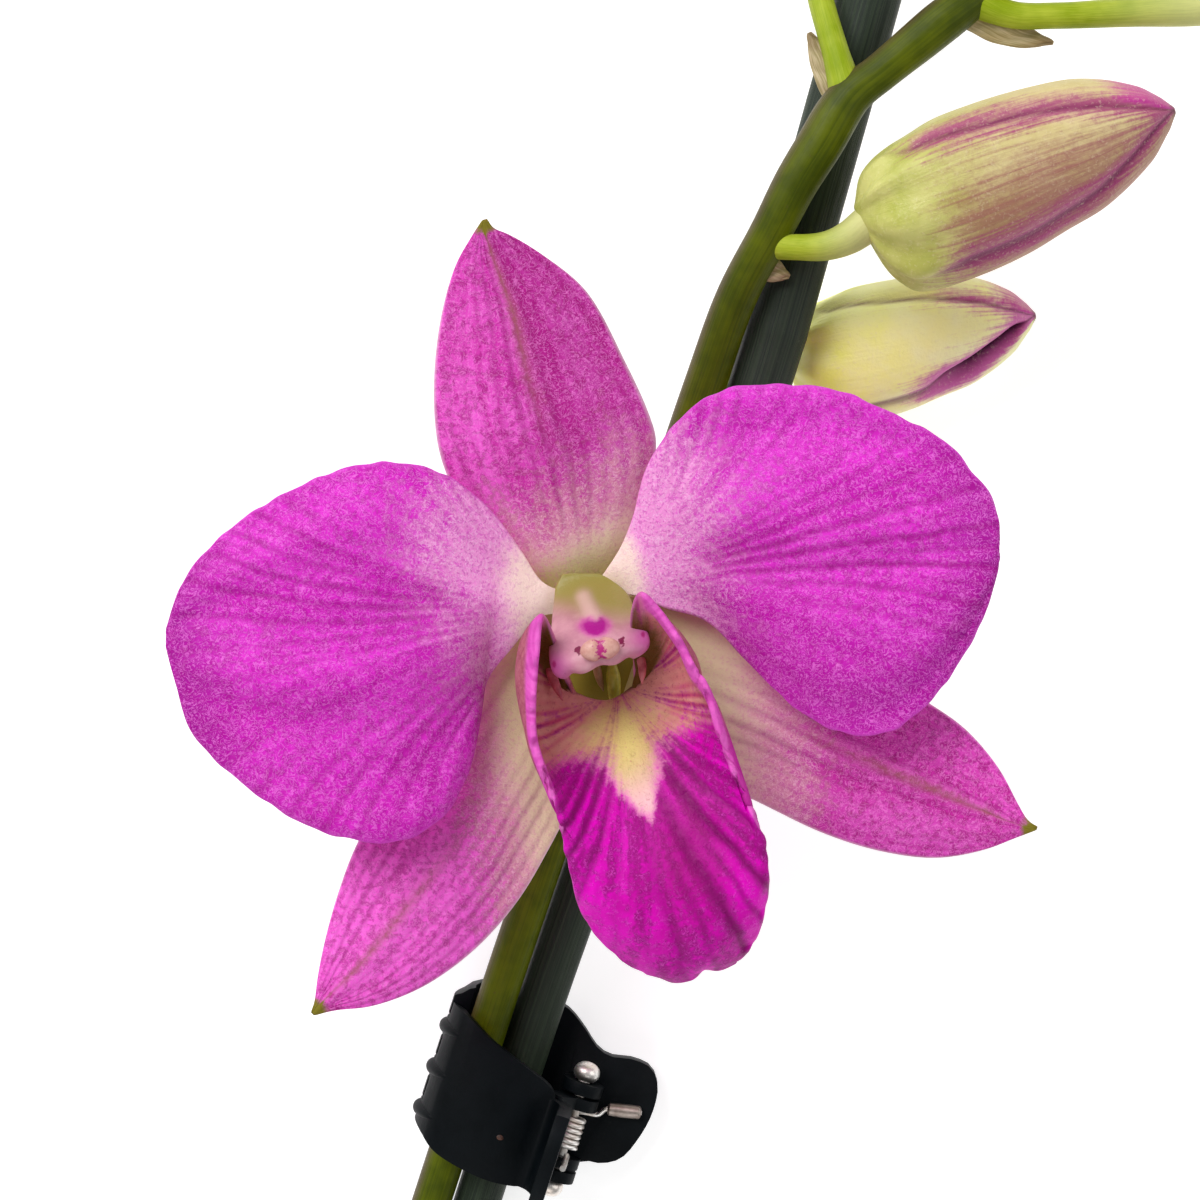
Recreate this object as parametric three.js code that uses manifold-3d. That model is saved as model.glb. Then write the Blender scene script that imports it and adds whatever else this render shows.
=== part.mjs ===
import * as THREE from "three";
import { mergeVertices } from "three/addons/utils/BufferGeometryUtils.js";
import Module from "manifold-3d";

// A cut flowering spray of a purple dendrobium lying face up, tied by a claw clip to its support stick.
// Units are millimetres and +Z is up. The spray is laid out round the open bloom, whose petals
// spread in the plane z = 0, and the finished group is then raised so that it stands on z = 0.

// Driving dimensions.
const surfaceHeight = -32; // the surface that the spray lies on
const eyeHeight = 220; // the eye that places are given from, straight above the bloom
const bladeThickness = 0.8;
const lipThickness = 0.75;
const foldDepth = 0.5; // of the folds that fan out over the petals
const rippleDepth = 0.25; // and of the finer ones between them
const rachisRadius = 1.85;
const pedicelRadius = 1.15;
const ovaryRadius = 1.7;
const stakeTopRadius = 2.9;
const stakeFootRadius = 2.15;
const fitGap = 0.3; // between pieces that touch
const baseHalfWidth = 3.6; // of the rounded base that the sepals and petals spring from
const baseHalfLength = 6;
const baseHalfDepth = 3.2;
const basePlace = [-0.2, -4, -10];
const clipPlate = 1.25; // thickness of the clip's plastic
const bellyPlate = 1.7; // and of its back jaw where it lies on the surface
const clipHeight = -27.35; // of the clip's middle, between stem and stick
const hinge = new THREE.Vector2(8, 0.8); // the clip's hinge, right of its middle and above it
const hingeEyeRadius = 1.95;
const hingeHoleRadius = 0.85;
const pinRadius = 0.55;
const pinHeadRadius = 1.25;
const pinEnds = [-5.1, 6];
const coilRadius = 1.15;
const wireRadius = 0.22;
const coilTurns = 6;
const coilPitch = 0.52;
const coilMiddle = 0.35;
const sleeveRadius = 0.6; // of the sleeve on the spring's back leg
const legRadius = 0.28; // of the leg on the front handle
const clipPlace = [-9.5, -42.1]; // the clip's middle, where the eye sees it
const clipLean = -0.314; // in radians, to lie square to the stem
const jawFrom = -8; // the jaws are cut from prisms between these heights up the stem
const jawTo = 12;
const ribRadius = 0.7; // of the ribs that run from the front teeth over the jaw's shoulder
const toothPitch = 4;
const toothWidth = 1.6;
const toothGap = 0.4;

const { Vector2, Vector3 } = THREE;
const wasm = await Module();
wasm.setup();

const smoothstep = THREE.MathUtils.smoothstep;
const lerp = THREE.MathUtils.lerp;

// A place at height z, from where the eye's line to it crosses the plane of the bloom.
function at(x, y, z) {
  const reach = (eyeHeight - z) / eyeHeight;
  return new Vector3(x * reach, y * reach, z);
}

const places = (list) => list.map(([x, y, z]) => at(x, y, z));

// Solids for cutting and joining.
function solid(geometry) {
  const bare = geometry.index ? geometry.clone() : geometry;
  bare.deleteAttribute("normal");
  bare.deleteAttribute("uv");
  const merged = mergeVertices(bare, 1e-4);
  return new wasm.Manifold(
    new wasm.Mesh({
      numProp: 3,
      vertProperties: merged.attributes.position.array,
      triVerts: new Uint32Array(merged.index.array),
    }),
  );
}

function geometryOf(body) {
  const { numProp, vertProperties, triVerts } = body.getMesh();
  const geometry = new THREE.BufferGeometry();
  const corners = new Float32Array((vertProperties.length / numProp) * 3);
  for (let i = 0; i < corners.length / 3; i++) {
    corners.set(vertProperties.subarray(i * numProp, i * numProp + 3), i * 3);
  }
  geometry.setAttribute("position", new THREE.BufferAttribute(corners, 3));
  geometry.setIndex(new THREE.BufferAttribute(triVerts, 1));
  geometry.computeVertexNormals();
  return geometry;
}

const join = (bodies) => bodies.reduce((all, body) => all.add(body));

// Values read off a list of [where, value] pairs.
function profile(pairs) {
  const track = new THREE.LinearInterpolant(
    pairs.map(([where]) => where),
    pairs.map(([, value]) => value),
    1,
  );
  return (t) => track.evaluate(t)[0];
}

// A rod along a line of points. section(t, x, z) places a point of the unit circle beside the line
// and above it.
function rod(points, section, options = {}) {
  const { sides = 8, steps = 9, up = new Vector3(0, 0, 1), ease = false } = options;
  const line = new THREE.CatmullRomCurve3(points);
  const geometry = new THREE.CylinderGeometry(1, 1, 1, sides, steps);
  const corners = geometry.attributes.position;
  const corner = new Vector3();
  for (let i = 0; i < corners.count; i++) {
    corner.fromBufferAttribute(corners, i);
    const share = THREE.MathUtils.clamp(corner.y + 0.5, 0, 1);
    const t = ease ? (1 - Math.cos(Math.PI * share)) / 2 : share;
    const along = line.getTangentAt(t);
    const over = up.clone().addScaledVector(along, -up.dot(along)).normalize();
    const across = along.clone().cross(over);
    const [beside, above] = section(t, corner.x, corner.z);
    const place = line.getPointAt(t).addScaledVector(across, beside).addScaledVector(over, above);
    corners.setXYZ(i, place.x, place.y, place.z);
  }
  return solid(geometry);
}

const round = (radius) => (t, x, z) => [x * radius(t), z * radius(t)];

// A blade of even thickness on surface(s, t), with s from -1 to 1 across it and t from 0 to 1 along it.
// Both faces are split into triangles alike, and a rim closes them.
function blade(surface, thickness, across, along) {
  const sheet = new THREE.PlaneGeometry(2, 1, across, along);
  const corners = sheet.attributes.position;
  for (let i = 0; i < corners.count; i++) {
    const place = surface(corners.getX(i), 0.5 - corners.getY(i));
    corners.setXYZ(i, place.x, place.y, place.z);
  }
  sheet.computeVertexNormals();
  const normals = sheet.attributes.normal;
  const faces = [];
  for (const side of [0.5, -0.5]) {
    for (let i = 0; i < corners.count; i++) {
      const corner = new Vector3().fromBufferAttribute(corners, i);
      const normal = new Vector3().fromBufferAttribute(normals, i);
      faces.push(...corner.addScaledVector(normal, side * thickness));
    }
  }
  const front = Array.from(sheet.index.array);
  const count = corners.count;
  const index = [...front];
  for (let i = 0; i < front.length; i += 3) {
    index.push(front[i] + count, front[i + 2] + count, front[i + 1] + count);
  }
  const wide = across + 1;
  const rim = [];
  for (let i = 0; i < across; i++) rim.push(i);
  for (let j = 0; j < along; j++) rim.push(j * wide + across);
  for (let i = across; i > 0; i--) rim.push(along * wide + i);
  for (let j = along; j > 0; j--) rim.push(j * wide);
  rim.forEach((a, i) => {
    const b = rim[(i + 1) % rim.length];
    index.push(a, b, b + count, a, b + count, a + count);
  });
  const geometry = new THREE.BufferGeometry();
  geometry.setAttribute("position", new THREE.Float32BufferAttribute(faces, 3));
  geometry.setIndex(index);
  return solid(geometry);
}

// A sepal or petal between two edges that run from its base to its tip, at the height depth(s, t).
function tepal({ left, right, depth, across = 8, along = 12 }) {
  const [leftEdge, rightEdge] = [left, right].map(
    (edge) => new THREE.SplineCurve(edge.map(([x, y]) => new Vector2(x, y))),
  );
  const surface = (s, t) => {
    const place = leftEdge.getPointAt(t).lerp(rightEdge.getPointAt(t), (s + 1) / 2);
    return at(place.x, place.y, depth(s, t));
  };
  return blade(surface, bladeThickness, across, along);
}

const keel = (s, t, drop) => -drop * Math.abs(s) ** 1.3 * Math.sin(Math.PI * t) ** 0.7;

// A sepal rises from its base to its own height, and its tip is hooked.
const sepalDepth = (height, rise, drop, hook) => (s, t) =>
  lerp(-9, height, smoothstep(t, 0, rise)) + keel(s, t, drop) + hook * t ** 6;

// The three sepals stand behind the two petals; each has a keel down its middle and a hooked tip.
const dorsalSepal = {
  left: [
    [-3.2, -0.8], [-6, 1.7], [-9.3, 5.3], [-12, 8.8], [-13.3, 11.9], [-13.8, 15], [-13.8, 19.5],
    [-13.1, 24.4], [-11.8, 28.2], [-10, 31.5],
  ],
  right: [
    [-0.7, 0], [1.8, 3.3], [3.8, 8.3], [4.7, 13.2], [4.1, 15.5], [2.1, 19.9], [-1.1, 25.7],
    [-4.6, 29.3], [-7.1, 30.5], [-9.2, 31.8],
  ],
  depth: sepalDepth(-4, 0.5, 1.6, 1.2),
};
const leftSepal = {
  left: [
    [0, -7.5], [-1, -11.7], [-2.3, -16.7], [-4.5, -21.2], [-7, -25.3], [-10.5, -29.2],
    [-14.7, -32.2], [-19, -33.8], [-23.5, -34.5],
  ],
  right: [
    [-2.8, 0], [-7.8, -2.8], [-13, -8.3], [-16.8, -14.5], [-20.2, -20.2], [-21.9, -24.7],
    [-23, -28.8], [-23.5, -31.5], [-24.1, -33.8],
  ],
  depth: sepalDepth(-5.5, 0.7, 1.4, 1.5),
};
const rightSepal = {
  left: [
    [-0.5, -0.5], [5, 0.8], [14.2, -1.8], [21.7, -5.3], [27.6, -8.7], [30.5, -10.8], [33.2, -14],
    [35.1, -16.8], [36.4, -18.5],
  ],
  right: [
    [-0.2, -7.3], [1.7, -11.7], [6.7, -14.2], [12.2, -16.4], [18.5, -19.4], [23.2, -20.9],
    [28, -21.5], [32.1, -20.8], [36.1, -19.2],
  ],
  depth: sepalDepth(-5.5, 0.7, 1.4, 1.5),
};

// The petals are broad and rounded, with soft folds that fan out of a narrow base.
const petalDepth = (phase) => (s, t) =>
  lerp(-7.8, 0.3, smoothstep(t, -0.1, 0.66)) -
  1.2 * s * s * Math.sin(Math.PI * t) +
  foldDepth * Math.cos(8 * s + phase) * Math.sin(Math.PI * t) ** 1.5 +
  rippleDepth * Math.sin(21 * s + 9 * t) * Math.sin(Math.PI * t);
const leftPetal = {
  left: [
    [-1.7, -2], [-4.6, -1.1], [-8, -4.6], [-9.8, -7.2], [-10.3, -10.7], [-11, -14.3],
    [-13.2, -18.2], [-16.9, -20.2], [-20.6, -20], [-24.7, -18.7], [-30.2, -15], [-34.1, -10.9],
    [-35.5, -6.3], [-36.2, -3.8],
  ],
  right: [
    [-1.3, 0.3], [-4.8, 1.4], [-6.7, 4.2], [-9.4, 7.8], [-13.2, 10.6], [-16.9, 11.5],
    [-20.6, 11.2], [-24.9, 9.6], [-30.2, 6.5], [-34.1, 2.6], [-35.3, 0.3], [-36.2, -2.5],
  ],
  depth: petalDepth(1),
  across: 12,
  along: 14,
};
const rightPetal = {
  left: [
    [-0.7, 0.8], [1.5, 3.8], [2.7, 6.7], [4, 11.3], [7.1, 15.6], [10.4, 17.6], [14.2, 18],
    [19.5, 17.6], [23.5, 16], [29.1, 13], [31.2, 10.4], [32.6, 8.8], [33.3, 5],
  ],
  right: [
    [0, -1.8], [2.2, 0.5], [5.5, -0.7], [9, -1.8], [13, -5.9], [16.5, -9.2], [20.2, -11.1],
    [23.9, -11.1], [27.5, -8.5], [30.2, -4.8], [32.3, -0.6], [33.3, 3.7],
  ],
  depth: petalDepth(2.4),
  across: 12,
  along: 14,
};

// The rounded base, with the chin that the feet of the lateral sepals make.
function flowerBase(grow) {
  const geometry = new THREE.SphereGeometry(1, 12, 8);
  geometry.scale(baseHalfWidth + grow, baseHalfLength + grow, baseHalfDepth + grow);
  const centre = at(...basePlace);
  geometry.translate(centre.x, centre.y, centre.z);
  return solid(geometry);
}

const tepals = [dorsalSepal, leftSepal, rightSepal, leftPetal, rightPetal].map(tepal);
const perianth = join([flowerBase(0), ...tepals]);

// The lip: rows of points from its left edge to its right one, from the throat down to the notched tip.
// Its side lobes stand up beside the column and roll inwards, and its middle lobe spreads below.
const lipRows = [
  [
    [-2.2, -8.3, -5], [-1.5, -8.8, -5.4], [-0.8, -9.2, -5.6], [0.2, -9.3, -5.7],
    [1.3, -9.2, -5.6], [2.3, -8.7, -5.4], [3.1, -8.1, -5],
  ],
  [
    [-4.8, -1.2, 3.6], [-6, -3.3, 0], [-5, -6.3, -3], [0.5, -8.7, -5],
    [4.6, -6, -3], [6.3, -3.3, 0], [3.8, -0.3, 3.6],
  ],
  [
    [-5.2, -4.6, 4.6], [-6.7, -5.7, 1], [-5.5, -8.5, -2.6], [0.8, -9.4, -4.4],
    [5.5, -7.5, -2.6], [7.6, -4.7, 1], [5.7, -3.4, 4.4],
  ],
  [
    [-5.6, -8.3, 5], [-6.8, -8.8, 2], [-5.2, -11.4, -1.5], [1.2, -11.2, -2.6],
    [6.8, -9.7, -1.5], [8.5, -7.5, 1.8], [7.2, -6, 4.8],
  ],
  [
    [-5.6, -11.5, 5.2], [-6.2, -12.5, 3], [-3.7, -14, 0], [1.8, -14, -0.2],
    [7.8, -12.2, 0], [9.6, -9.5, 2.8], [8.7, -7.5, 5],
  ],
  [
    [-4.6, -14.6, 5.2], [-4.3, -15.8, 4.2], [-1.7, -17.2, 2.4], [2.8, -17.7, 2],
    [8.8, -15.8, 2.4], [11.3, -14.2, 4], [10.2, -12.1, 5],
  ],
  [
    [-3.5, -17.9, 4.8], [-2.3, -19.7, 4.4], [0.3, -20.8, 3.6], [3.8, -21, 3.4],
    [9.8, -19.8, 3.6], [12.5, -18.3, 4.2], [12, -16.1, 4.8],
  ],
  [
    [-2.8, -21.3, 4.2], [-1, -23.3, 4.4], [1.8, -24.3, 4.4], [4.8, -24.3, 4.2],
    [10.3, -23.7, 4.4], [13.2, -22.2, 4.2], [13.8, -20.4, 4.2],
  ],
  [
    [-1.4, -26.2, 2.6], [0.8, -27, 3.6], [3.3, -27.7, 4], [5.8, -27.8, 4],
    [9.3, -27.3, 4], [12.2, -26.3, 3.4], [13.9, -24.8, 2.6],
  ],
  [
    [1.1, -29.2, 0.8], [2.7, -29.8, 1.8], [4.7, -30.3, 2.4], [6.7, -30.2, 2.6],
    [8.7, -30, 2.4], [10.7, -29.3, 1.8], [12.7, -28.7, 0.8],
  ],
  [
    [4, -31.1, -0.4], [5.2, -31.4, 0.2], [6.3, -31.8, 0.6], [7.7, -31.6, 0.8],
    [8.6, -30.7, 0.8], [9.8, -30.8, 0.4], [11.2, -30.2, -0.4],
  ],
];

function lipSurface() {
  const across = lipRows.map((row) => new THREE.CatmullRomCurve3(places(row)));
  return (s, t) => {
    const ladder = across.map((row) => row.getPoint((s + 1) / 2));
    const line = new THREE.CatmullRomCurve3(ladder);
    const place = line.getPoint(t);
    const frill = smoothstep(t, 0.05, 0.2) * Math.abs(s) ** 6;
    place.z += 0.4 * frill * Math.sin(70 * t);
    return place;
  };
}

const lip = blade(lipSurface(), lipThickness, 16, 26);

// The column leans out over the throat, widens to two wings and ends in a rounded anther cap.
function columnBody() {
  const halfWidth = profile([[0, 1.5], [0.3, 1.8], [0.6, 2.3], [0.85, 3.5], [1, 3.1]]);
  const halfHeight = profile([[0, 1.3], [0.3, 1.7], [0.6, 2.1], [0.85, 2], [1, 1.3]]);
  const line = places([[-0.8, 0.5, -5.4], [-0.5, -0.5, -2.6], [-0.2, -2.2, 0.6], [0, -3.8, 3]]);
  const section = (t, x, z) => [x * halfWidth(t), z * halfHeight(t)];
  const body = rod(line, section, { sides: 12, steps: 6, up: new Vector3(0, 1, 0) });
  const cap = new THREE.SphereGeometry(1.6, 12, 8).scale(1, 0.85, 0.8);
  const capPlace = at(0.1, -4.3, 3.6);
  return body.add(solid(cap.translate(capPlace.x, capPlace.y, capPlace.z)));
}

// Buds are plump and pointed, with a chin under the base. Their outlines are given as shares of the length.
const budShape = {
  back: [
    [0, 0.03], [0.05, 0.107], [0.1, 0.143], [0.16, 0.17], [0.29, 0.203], [0.4, 0.21], [0.5, 0.21],
    [0.62, 0.203], [0.73, 0.188], [0.83, 0.152], [0.92, 0.1], [0.97, 0.05], [1, 0.01],
  ],
  chin: [
    [0, 0.03], [0.03, 0.15], [0.05, 0.2], [0.1, 0.262], [0.16, 0.283], [0.24, 0.292],
    [0.35, 0.288], [0.47, 0.272], [0.59, 0.243], [0.71, 0.216], [0.81, 0.172], [0.9, 0.118],
    [0.97, 0.05], [1, 0.01],
  ],
  side: [
    [0, 0.03], [0.05, 0.14], [0.1, 0.19], [0.16, 0.21], [0.3, 0.235], [0.45, 0.235],
    [0.6, 0.215], [0.73, 0.185], [0.83, 0.15], [0.92, 0.1], [0.97, 0.05], [1, 0.01],
  ],
};

function budBody({ base, tip, plump = 1, bow = 0 }, grow = 0) {
  const [start, end] = places([base, tip]);
  const length = start.distanceTo(end);
  start.lerp(end, -grow / length);
  const middle = start.clone().lerp(end, 0.5);
  middle.z += bow;
  const [back, chin, side] = [budShape.back, budShape.chin, budShape.side].map(profile);
  const section = (t, x, z) => {
    const beside = (x > 0 ? chin(t) : back(t)) * length * plump + grow;
    const above = side(t) * length * plump + grow;
    return [x * beside, z * above];
  };
  return rod([start, middle, end], section, { sides: 14, steps: 11, ease: true });
}

const buds = [
  { base: [21.4, 32, -12], tip: [47.9, 40.8, -10] },
  { base: [15.4, 20.4, -27.8], tip: [36.3, 23.7, -26], plump: 1.08, bow: 0.4 },
  { base: [16.4, 58.8, -25.7], tip: [11.8, 78.8, -28.4], bow: 0.3 },
  { base: [53.3, 49.8, -13], tip: [68.3, 53, -13], plump: 0.92 },
];

// What lies on the surface has a small flat spot there.
const room = new THREE.BoxGeometry(400, 400, 200);
room.translate(0, 0, surfaceHeight + 100);
const aboveSurface = solid(room);

const budBodies = buds.map((bud) => budBody(bud).intersect(aboveSurface));

// The rachis crosses over the stick near the top and runs down beside it.
const rachisLine = places([
  [-19, -65.8, -26.3], [-14, -50, -26.1], [-11, -40.8, -25.8], [-8.6, -33.3, -24.9],
  [-2.5, -15.3, -22.8], [3.1, 1.2, -21], [8.7, 17.8, -19], [11.4, 25.3, -16.7],
  [14.3, 30.8, -14.4], [16.3, 34.7, -13.4], [18.2, 37.8, -12.8], [20.7, 41.8, -12.3],
  [23.4, 44, -12.2], [26.2, 46.3, -12.2], [28.9, 48.5, -12.2], [32.1, 50.7, -12.2],
  [35.8, 52.7, -12], [40, 54.3, -11.6],
]);
const rachisWidth = profile([
  [0, 0.97], [0.55, 1], [0.62, 1.04], [0.74, 1], [0.82, 1.12], [0.86, 0.93], [0.91, 1.05],
  [0.94, 0.85], [1, 0.6],
]);

// Pedicels leave the rachis at its nodes and swell into the ovaries under the buds and the bloom.
const ovary = profile([[0, 1.1], [0.4, 1.1], [0.7, 1.45], [1, ovaryRadius]]);
const pedicelWidth = profile([[0, 1], [0.55, 1], [0.85, 1.3], [1, 1.45]]);
const pedicels = [
  [[13.1, 28.9, -15.2], [15.6, 29, -13.8], [18, 29.3, -13], [20.3, 29.8, -12.5], [22.9, 30.9, -12]],
  [
    [8.3, 16.7, -20.8], [9.6, 17.3, -23.4], [11.7, 18.5, -25.6], [13.8, 19.5, -26.9],
    [16.7, 20.7, -27.6],
  ],
  [
    [20.5, 42.5, -12.4], [19.7, 45.4, -12.6], [18.5, 49.6, -14], [17.7, 53.8, -18.6],
    [16.9, 57.1, -23.4], [16.2, 60.4, -26.1],
  ],
  [
    [31.2, 50, -12.2], [34.2, 48.8, -12.2], [38.3, 48.7, -12.3], [44.2, 49, -12.6],
    [50, 49.3, -12.9], [54.2, 50, -13],
  ],
];
const flowerStalk = [
  [4.7, 6, -20.5], [3.8, 4.2, -19.2], [2.1, 0.8, -16.6], [0.5, -2.2, -14.2], [-0.2, -3.8, -12],
];

// A papery bract clasps each node, and two tight buds end the rachis.
const bracts = [
  [[12.7, 28.8, -15], [14, 27.7, -15.6], [15.8, 26.9, -15.4]],
  [[20.2, 42.3, -13], [18.7, 44.8, -13.2], [17.4, 47.3, -13.4]],
  [[30.7, 49.3, -12.6], [34.2, 47.3, -13.2], [37.8, 46.4, -13.4]],
];
const bractWidth = profile([[0, 1.7], [0.4, 1.5], [0.8, 0.8], [1, 0.2]]);
const bractHalfDepth = 0.35;
const tightBuds = [
  { line: [[39.7, 54.2, -11.6], [42.7, 56.2, -11.4], [45.8, 58, -11.2]], radius: 2.3 },
  { line: [[37.7, 53.5, -12], [38.8, 55.8, -12.4], [39.5, 58.7, -12.8]], radius: 1.7 },
];
const tightBudWidth = profile([[0, 0.4], [0.2, 0.85], [0.45, 1], [0.75, 0.7], [0.92, 0.3], [1, 0.08]]);

function stemBody() {
  const rachis = round((t) => rachisRadius * rachisWidth(t));
  const parts = [rod(rachisLine, rachis, { sides: 10, steps: 36 })];
  parts.push(rod(places(flowerStalk), round(ovary), { sides: 10, steps: 8 }));
  pedicels.forEach((line) => {
    parts.push(rod(places(line), round((t) => pedicelRadius * pedicelWidth(t))));
  });
  bracts.forEach((line) => {
    const section = (t, x, z) => [x * bractWidth(t), z * bractHalfDepth];
    parts.push(rod(places(line), section, { steps: 5 }));
  });
  tightBuds.forEach(({ line, radius }) => {
    parts.push(rod(places(line), round((t) => radius * tightBudWidth(t)), { steps: 6 }));
  });
  const cutters = [flowerBase(fitGap), ...buds.map((bud) => budBody(bud, fitGap))];
  return cutters.reduce((body, cutter) => body.subtract(cutter), join(parts));
}

// The support stick is a slim cane that tapers to its foot.
const stakeLine = places([
  [25.7, 62.5, -16.2], [22.3, 50, -17], [17.9, 34.2, -18.4], [13.4, 18.2, -20.4],
  [7.5, 1.5, -22.5], [1.8, -14.4, -24.6], [-3.8, -30.2, -26.3], [-7.3, -40.8, -27.3],
  [-10.2, -50, -27.6], [-15.2, -65, -27.8],
]);
const stakeRadius = (t) => lerp(stakeTopRadius, stakeFootRadius, smoothstep(t, 0.15, 0.85));

// The claw clip, drawn in its own frame: X across the stem from the toothed edge to the hinge,
// Y up the stem and Z towards the eye, with its middle between stem and stick.

// A strip of even width along a line of [x, z] points, as an outline.
function strip(points, width) {
  const line = new THREE.SplineCurve(points.map(([x, z]) => new Vector2(x, z)));
  const count = points.length * 3;
  const sides = [1, -1].map((side) =>
    Array.from({ length: count + 1 }, (_, i) => {
      const along = line.getTangentAt(i / count);
      const off = (side * width) / 2;
      return line.getPointAt(i / count).add(new Vector2(-along.y * off, along.x * off));
    }),
  );
  return new THREE.Shape([...sides[0], ...sides[1].reverse()]);
}

// A prism on an outline in X and Z, from one Y to another.
function prism(shape, from, to) {
  const geometry = new THREE.ExtrudeGeometry(shape, { depth: to - from, bevelEnabled: false });
  return solid(geometry.rotateX(Math.PI / 2).translate(0, to, 0));
}

// A tall prism on a smooth outline through points in X and Y, to trim plates with.
function trim(points, from = -20, to = 30) {
  const outline = new THREE.CatmullRomCurve3(points.map(([x, y]) => new Vector3(x, y, 0)), true);
  const shape = new THREE.Shape(outline.getSpacedPoints(80).map(({ x, y }) => new Vector2(x, y)));
  const geometry = new THREE.ExtrudeGeometry(shape, { depth: to - from, bevelEnabled: false });
  return solid(geometry.translate(0, 0, from));
}

function block(x, y, z) {
  const geometry = new THREE.BoxGeometry(x[1] - x[0], y[1] - y[0], z[1] - z[0]);
  return solid(geometry.translate((x[0] + x[1]) / 2, (y[0] + y[1]) / 2, (z[0] + z[1]) / 2));
}

function hingeRound(radius, from, to, segments = 20) {
  const geometry = new THREE.CylinderGeometry(radius, radius, to - from, segments);
  return solid(geometry.translate(hinge.x, (from + to) / 2, hinge.y));
}

const frontEyes = [[2.65, 3.75], [-2.95, -1.95]];
const backEyes = [[4.05, 5.15], [-4.3, -3.25]];
const frontTeeth = [-0.45, 0.55, 1.55].map((turn) => turn * toothPitch);
const backTeeth = [0.05, 1.05, 2.05].map((turn) => turn * toothPitch);
const notch = toothWidth / 2 + toothGap;

// An eye on the pin, on a web that runs to a jaw at foot.
function hingeEye([from, to], foot, width) {
  const reach = new Vector2(foot[0], foot[1]).sub(hinge);
  const off = new Vector2(-reach.y, reach.x).setLength(width / 2);
  const corners = [hinge.clone().add(off), hinge.clone().sub(off)];
  const far = corners.map((corner) => corner.clone().add(reach));
  const web = prism(new THREE.Shape([corners[0], corners[1], far[1], far[0]]), from, to);
  return web.add(hingeRound(hingeEyeRadius, from, to));
}

const toothSpace = [-9, -3.6]; // where the teeth and the gaps between them are, in X

function frontJaw() {
  const claw = strip(
    [
      [-5.3, -0.9], [-5.4, 0.6], [-5.1, 2.3], [-4.2, 3.9], [-2.4, 4.8], [0, 5.2], [3, 5], [5.6, 4.4],
    ],
    clipPlate,
  );
  const outline = [
    [-9, -2.8], [-6.4, -2.8], [-5.1, -3.4], [-3.6, -4.4], [-0.6, -5.1], [2.9, -5.4], [5.6, -4.9],
    [6.2, -3.6], [6.3, 2.5], [5.3, 4.2], [2.7, 5.4], [-1.2, 6.8], [-4, 8.1], [-6, 8.6], [-9, 8.4],
  ];
  let jaw = prism(claw, jawFrom, jawTo).intersect(trim(outline));
  backTeeth.forEach((y) => {
    jaw = jaw.subtract(block(toothSpace, [y - notch, y + notch], [-4, 2]));
  });
  frontTeeth.forEach((y) => {
    const rib = [[-5.4, y, -0.6], [-5.7, y, 0.7], [-5.4, y, 2.4], [-4.4, y, 4.1], [-3.4, y, 4.75]];
    const line = rib.map((spot) => new Vector3(...spot));
    const section = round((t) => ribRadius * (1 - 0.7 * t));
    jaw = jaw.add(rod(line, section, { up: new Vector3(0, 1, 0) }));
  });
  const handle = strip(
    [[4.8, 4.3], [6.1, 4.9], [6.85, 6.6], [6.8, 9], [6.65, 11.4], [6.6, 12.6]],
    clipPlate,
  );
  const paddle = prism(handle, -5.2, 3.4);
  const corner = new THREE.CylinderGeometry(7.4, 7.4, 30, 40).rotateZ(Math.PI / 2);
  jaw = jaw.add(paddle.intersect(solid(corner.translate(6, -0.9, 5.6))));
  frontEyes.forEach((span) => {
    jaw = jaw.add(hingeEye(span, [5.6, 4.1], 2));
  });
  return jaw.subtract(hingeRound(hingeHoleRadius, jawFrom, -jawFrom));
}

function backJaw() {
  const claw = strip(
    [
      [-5.1, 1.5], [-5.2, 0], [-4.9, -1.7], [-3.8, -3.1], [-1.8, -3.9], [1.5, -4], [5, -3.5],
      [8, -2.7], [11, -2.3], [13.5, -2], [15.6, -1.4],
    ],
    bellyPlate,
  );
  const outline = [
    [-9, -1.2], [-5.2, -1.5], [-3.9, -3], [-2.4, -4.7], [3, -5.3], [7.4, -5.2], [8.9, -4.2],
    [10.3, -2.5], [12.1, -2.1], [13.6, -1.1], [14.5, 0.9], [15.1, 3.9], [14.8, 6.6], [13.7, 7.9],
    [11.8, 8.1], [9.8, 7.7], [8.5, 8], [6.5, 9.5], [4.6, 10.6], [2, 10.9], [-3, 10.8],
    [-4.7, 10.2], [-5.8, 9.2], [-9, 8.6],
  ];
  const lying = trim(outline, surfaceHeight - clipHeight, 20);
  let jaw = prism(claw, jawFrom, jawTo).intersect(lying);
  frontTeeth.forEach((y) => {
    jaw = jaw.subtract(block(toothSpace, [y - notch, y + notch], [-1.3, 4]));
  });
  backEyes.forEach((span) => {
    jaw = jaw.add(hingeEye(span, [8, -2.4], 2.6));
  });
  return jaw.subtract(hingeRound(hingeHoleRadius, jawFrom, -jawFrom));
}

function hingePin() {
  const heads = pinEnds.map((end) => {
    const head = new THREE.SphereGeometry(pinHeadRadius, 10, 8).scale(1, 0.8, 1);
    return solid(head.translate(hinge.x, end, hinge.y));
  });
  return join([hingeRound(pinRadius, ...pinEnds, 12), ...heads]);
}

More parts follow.
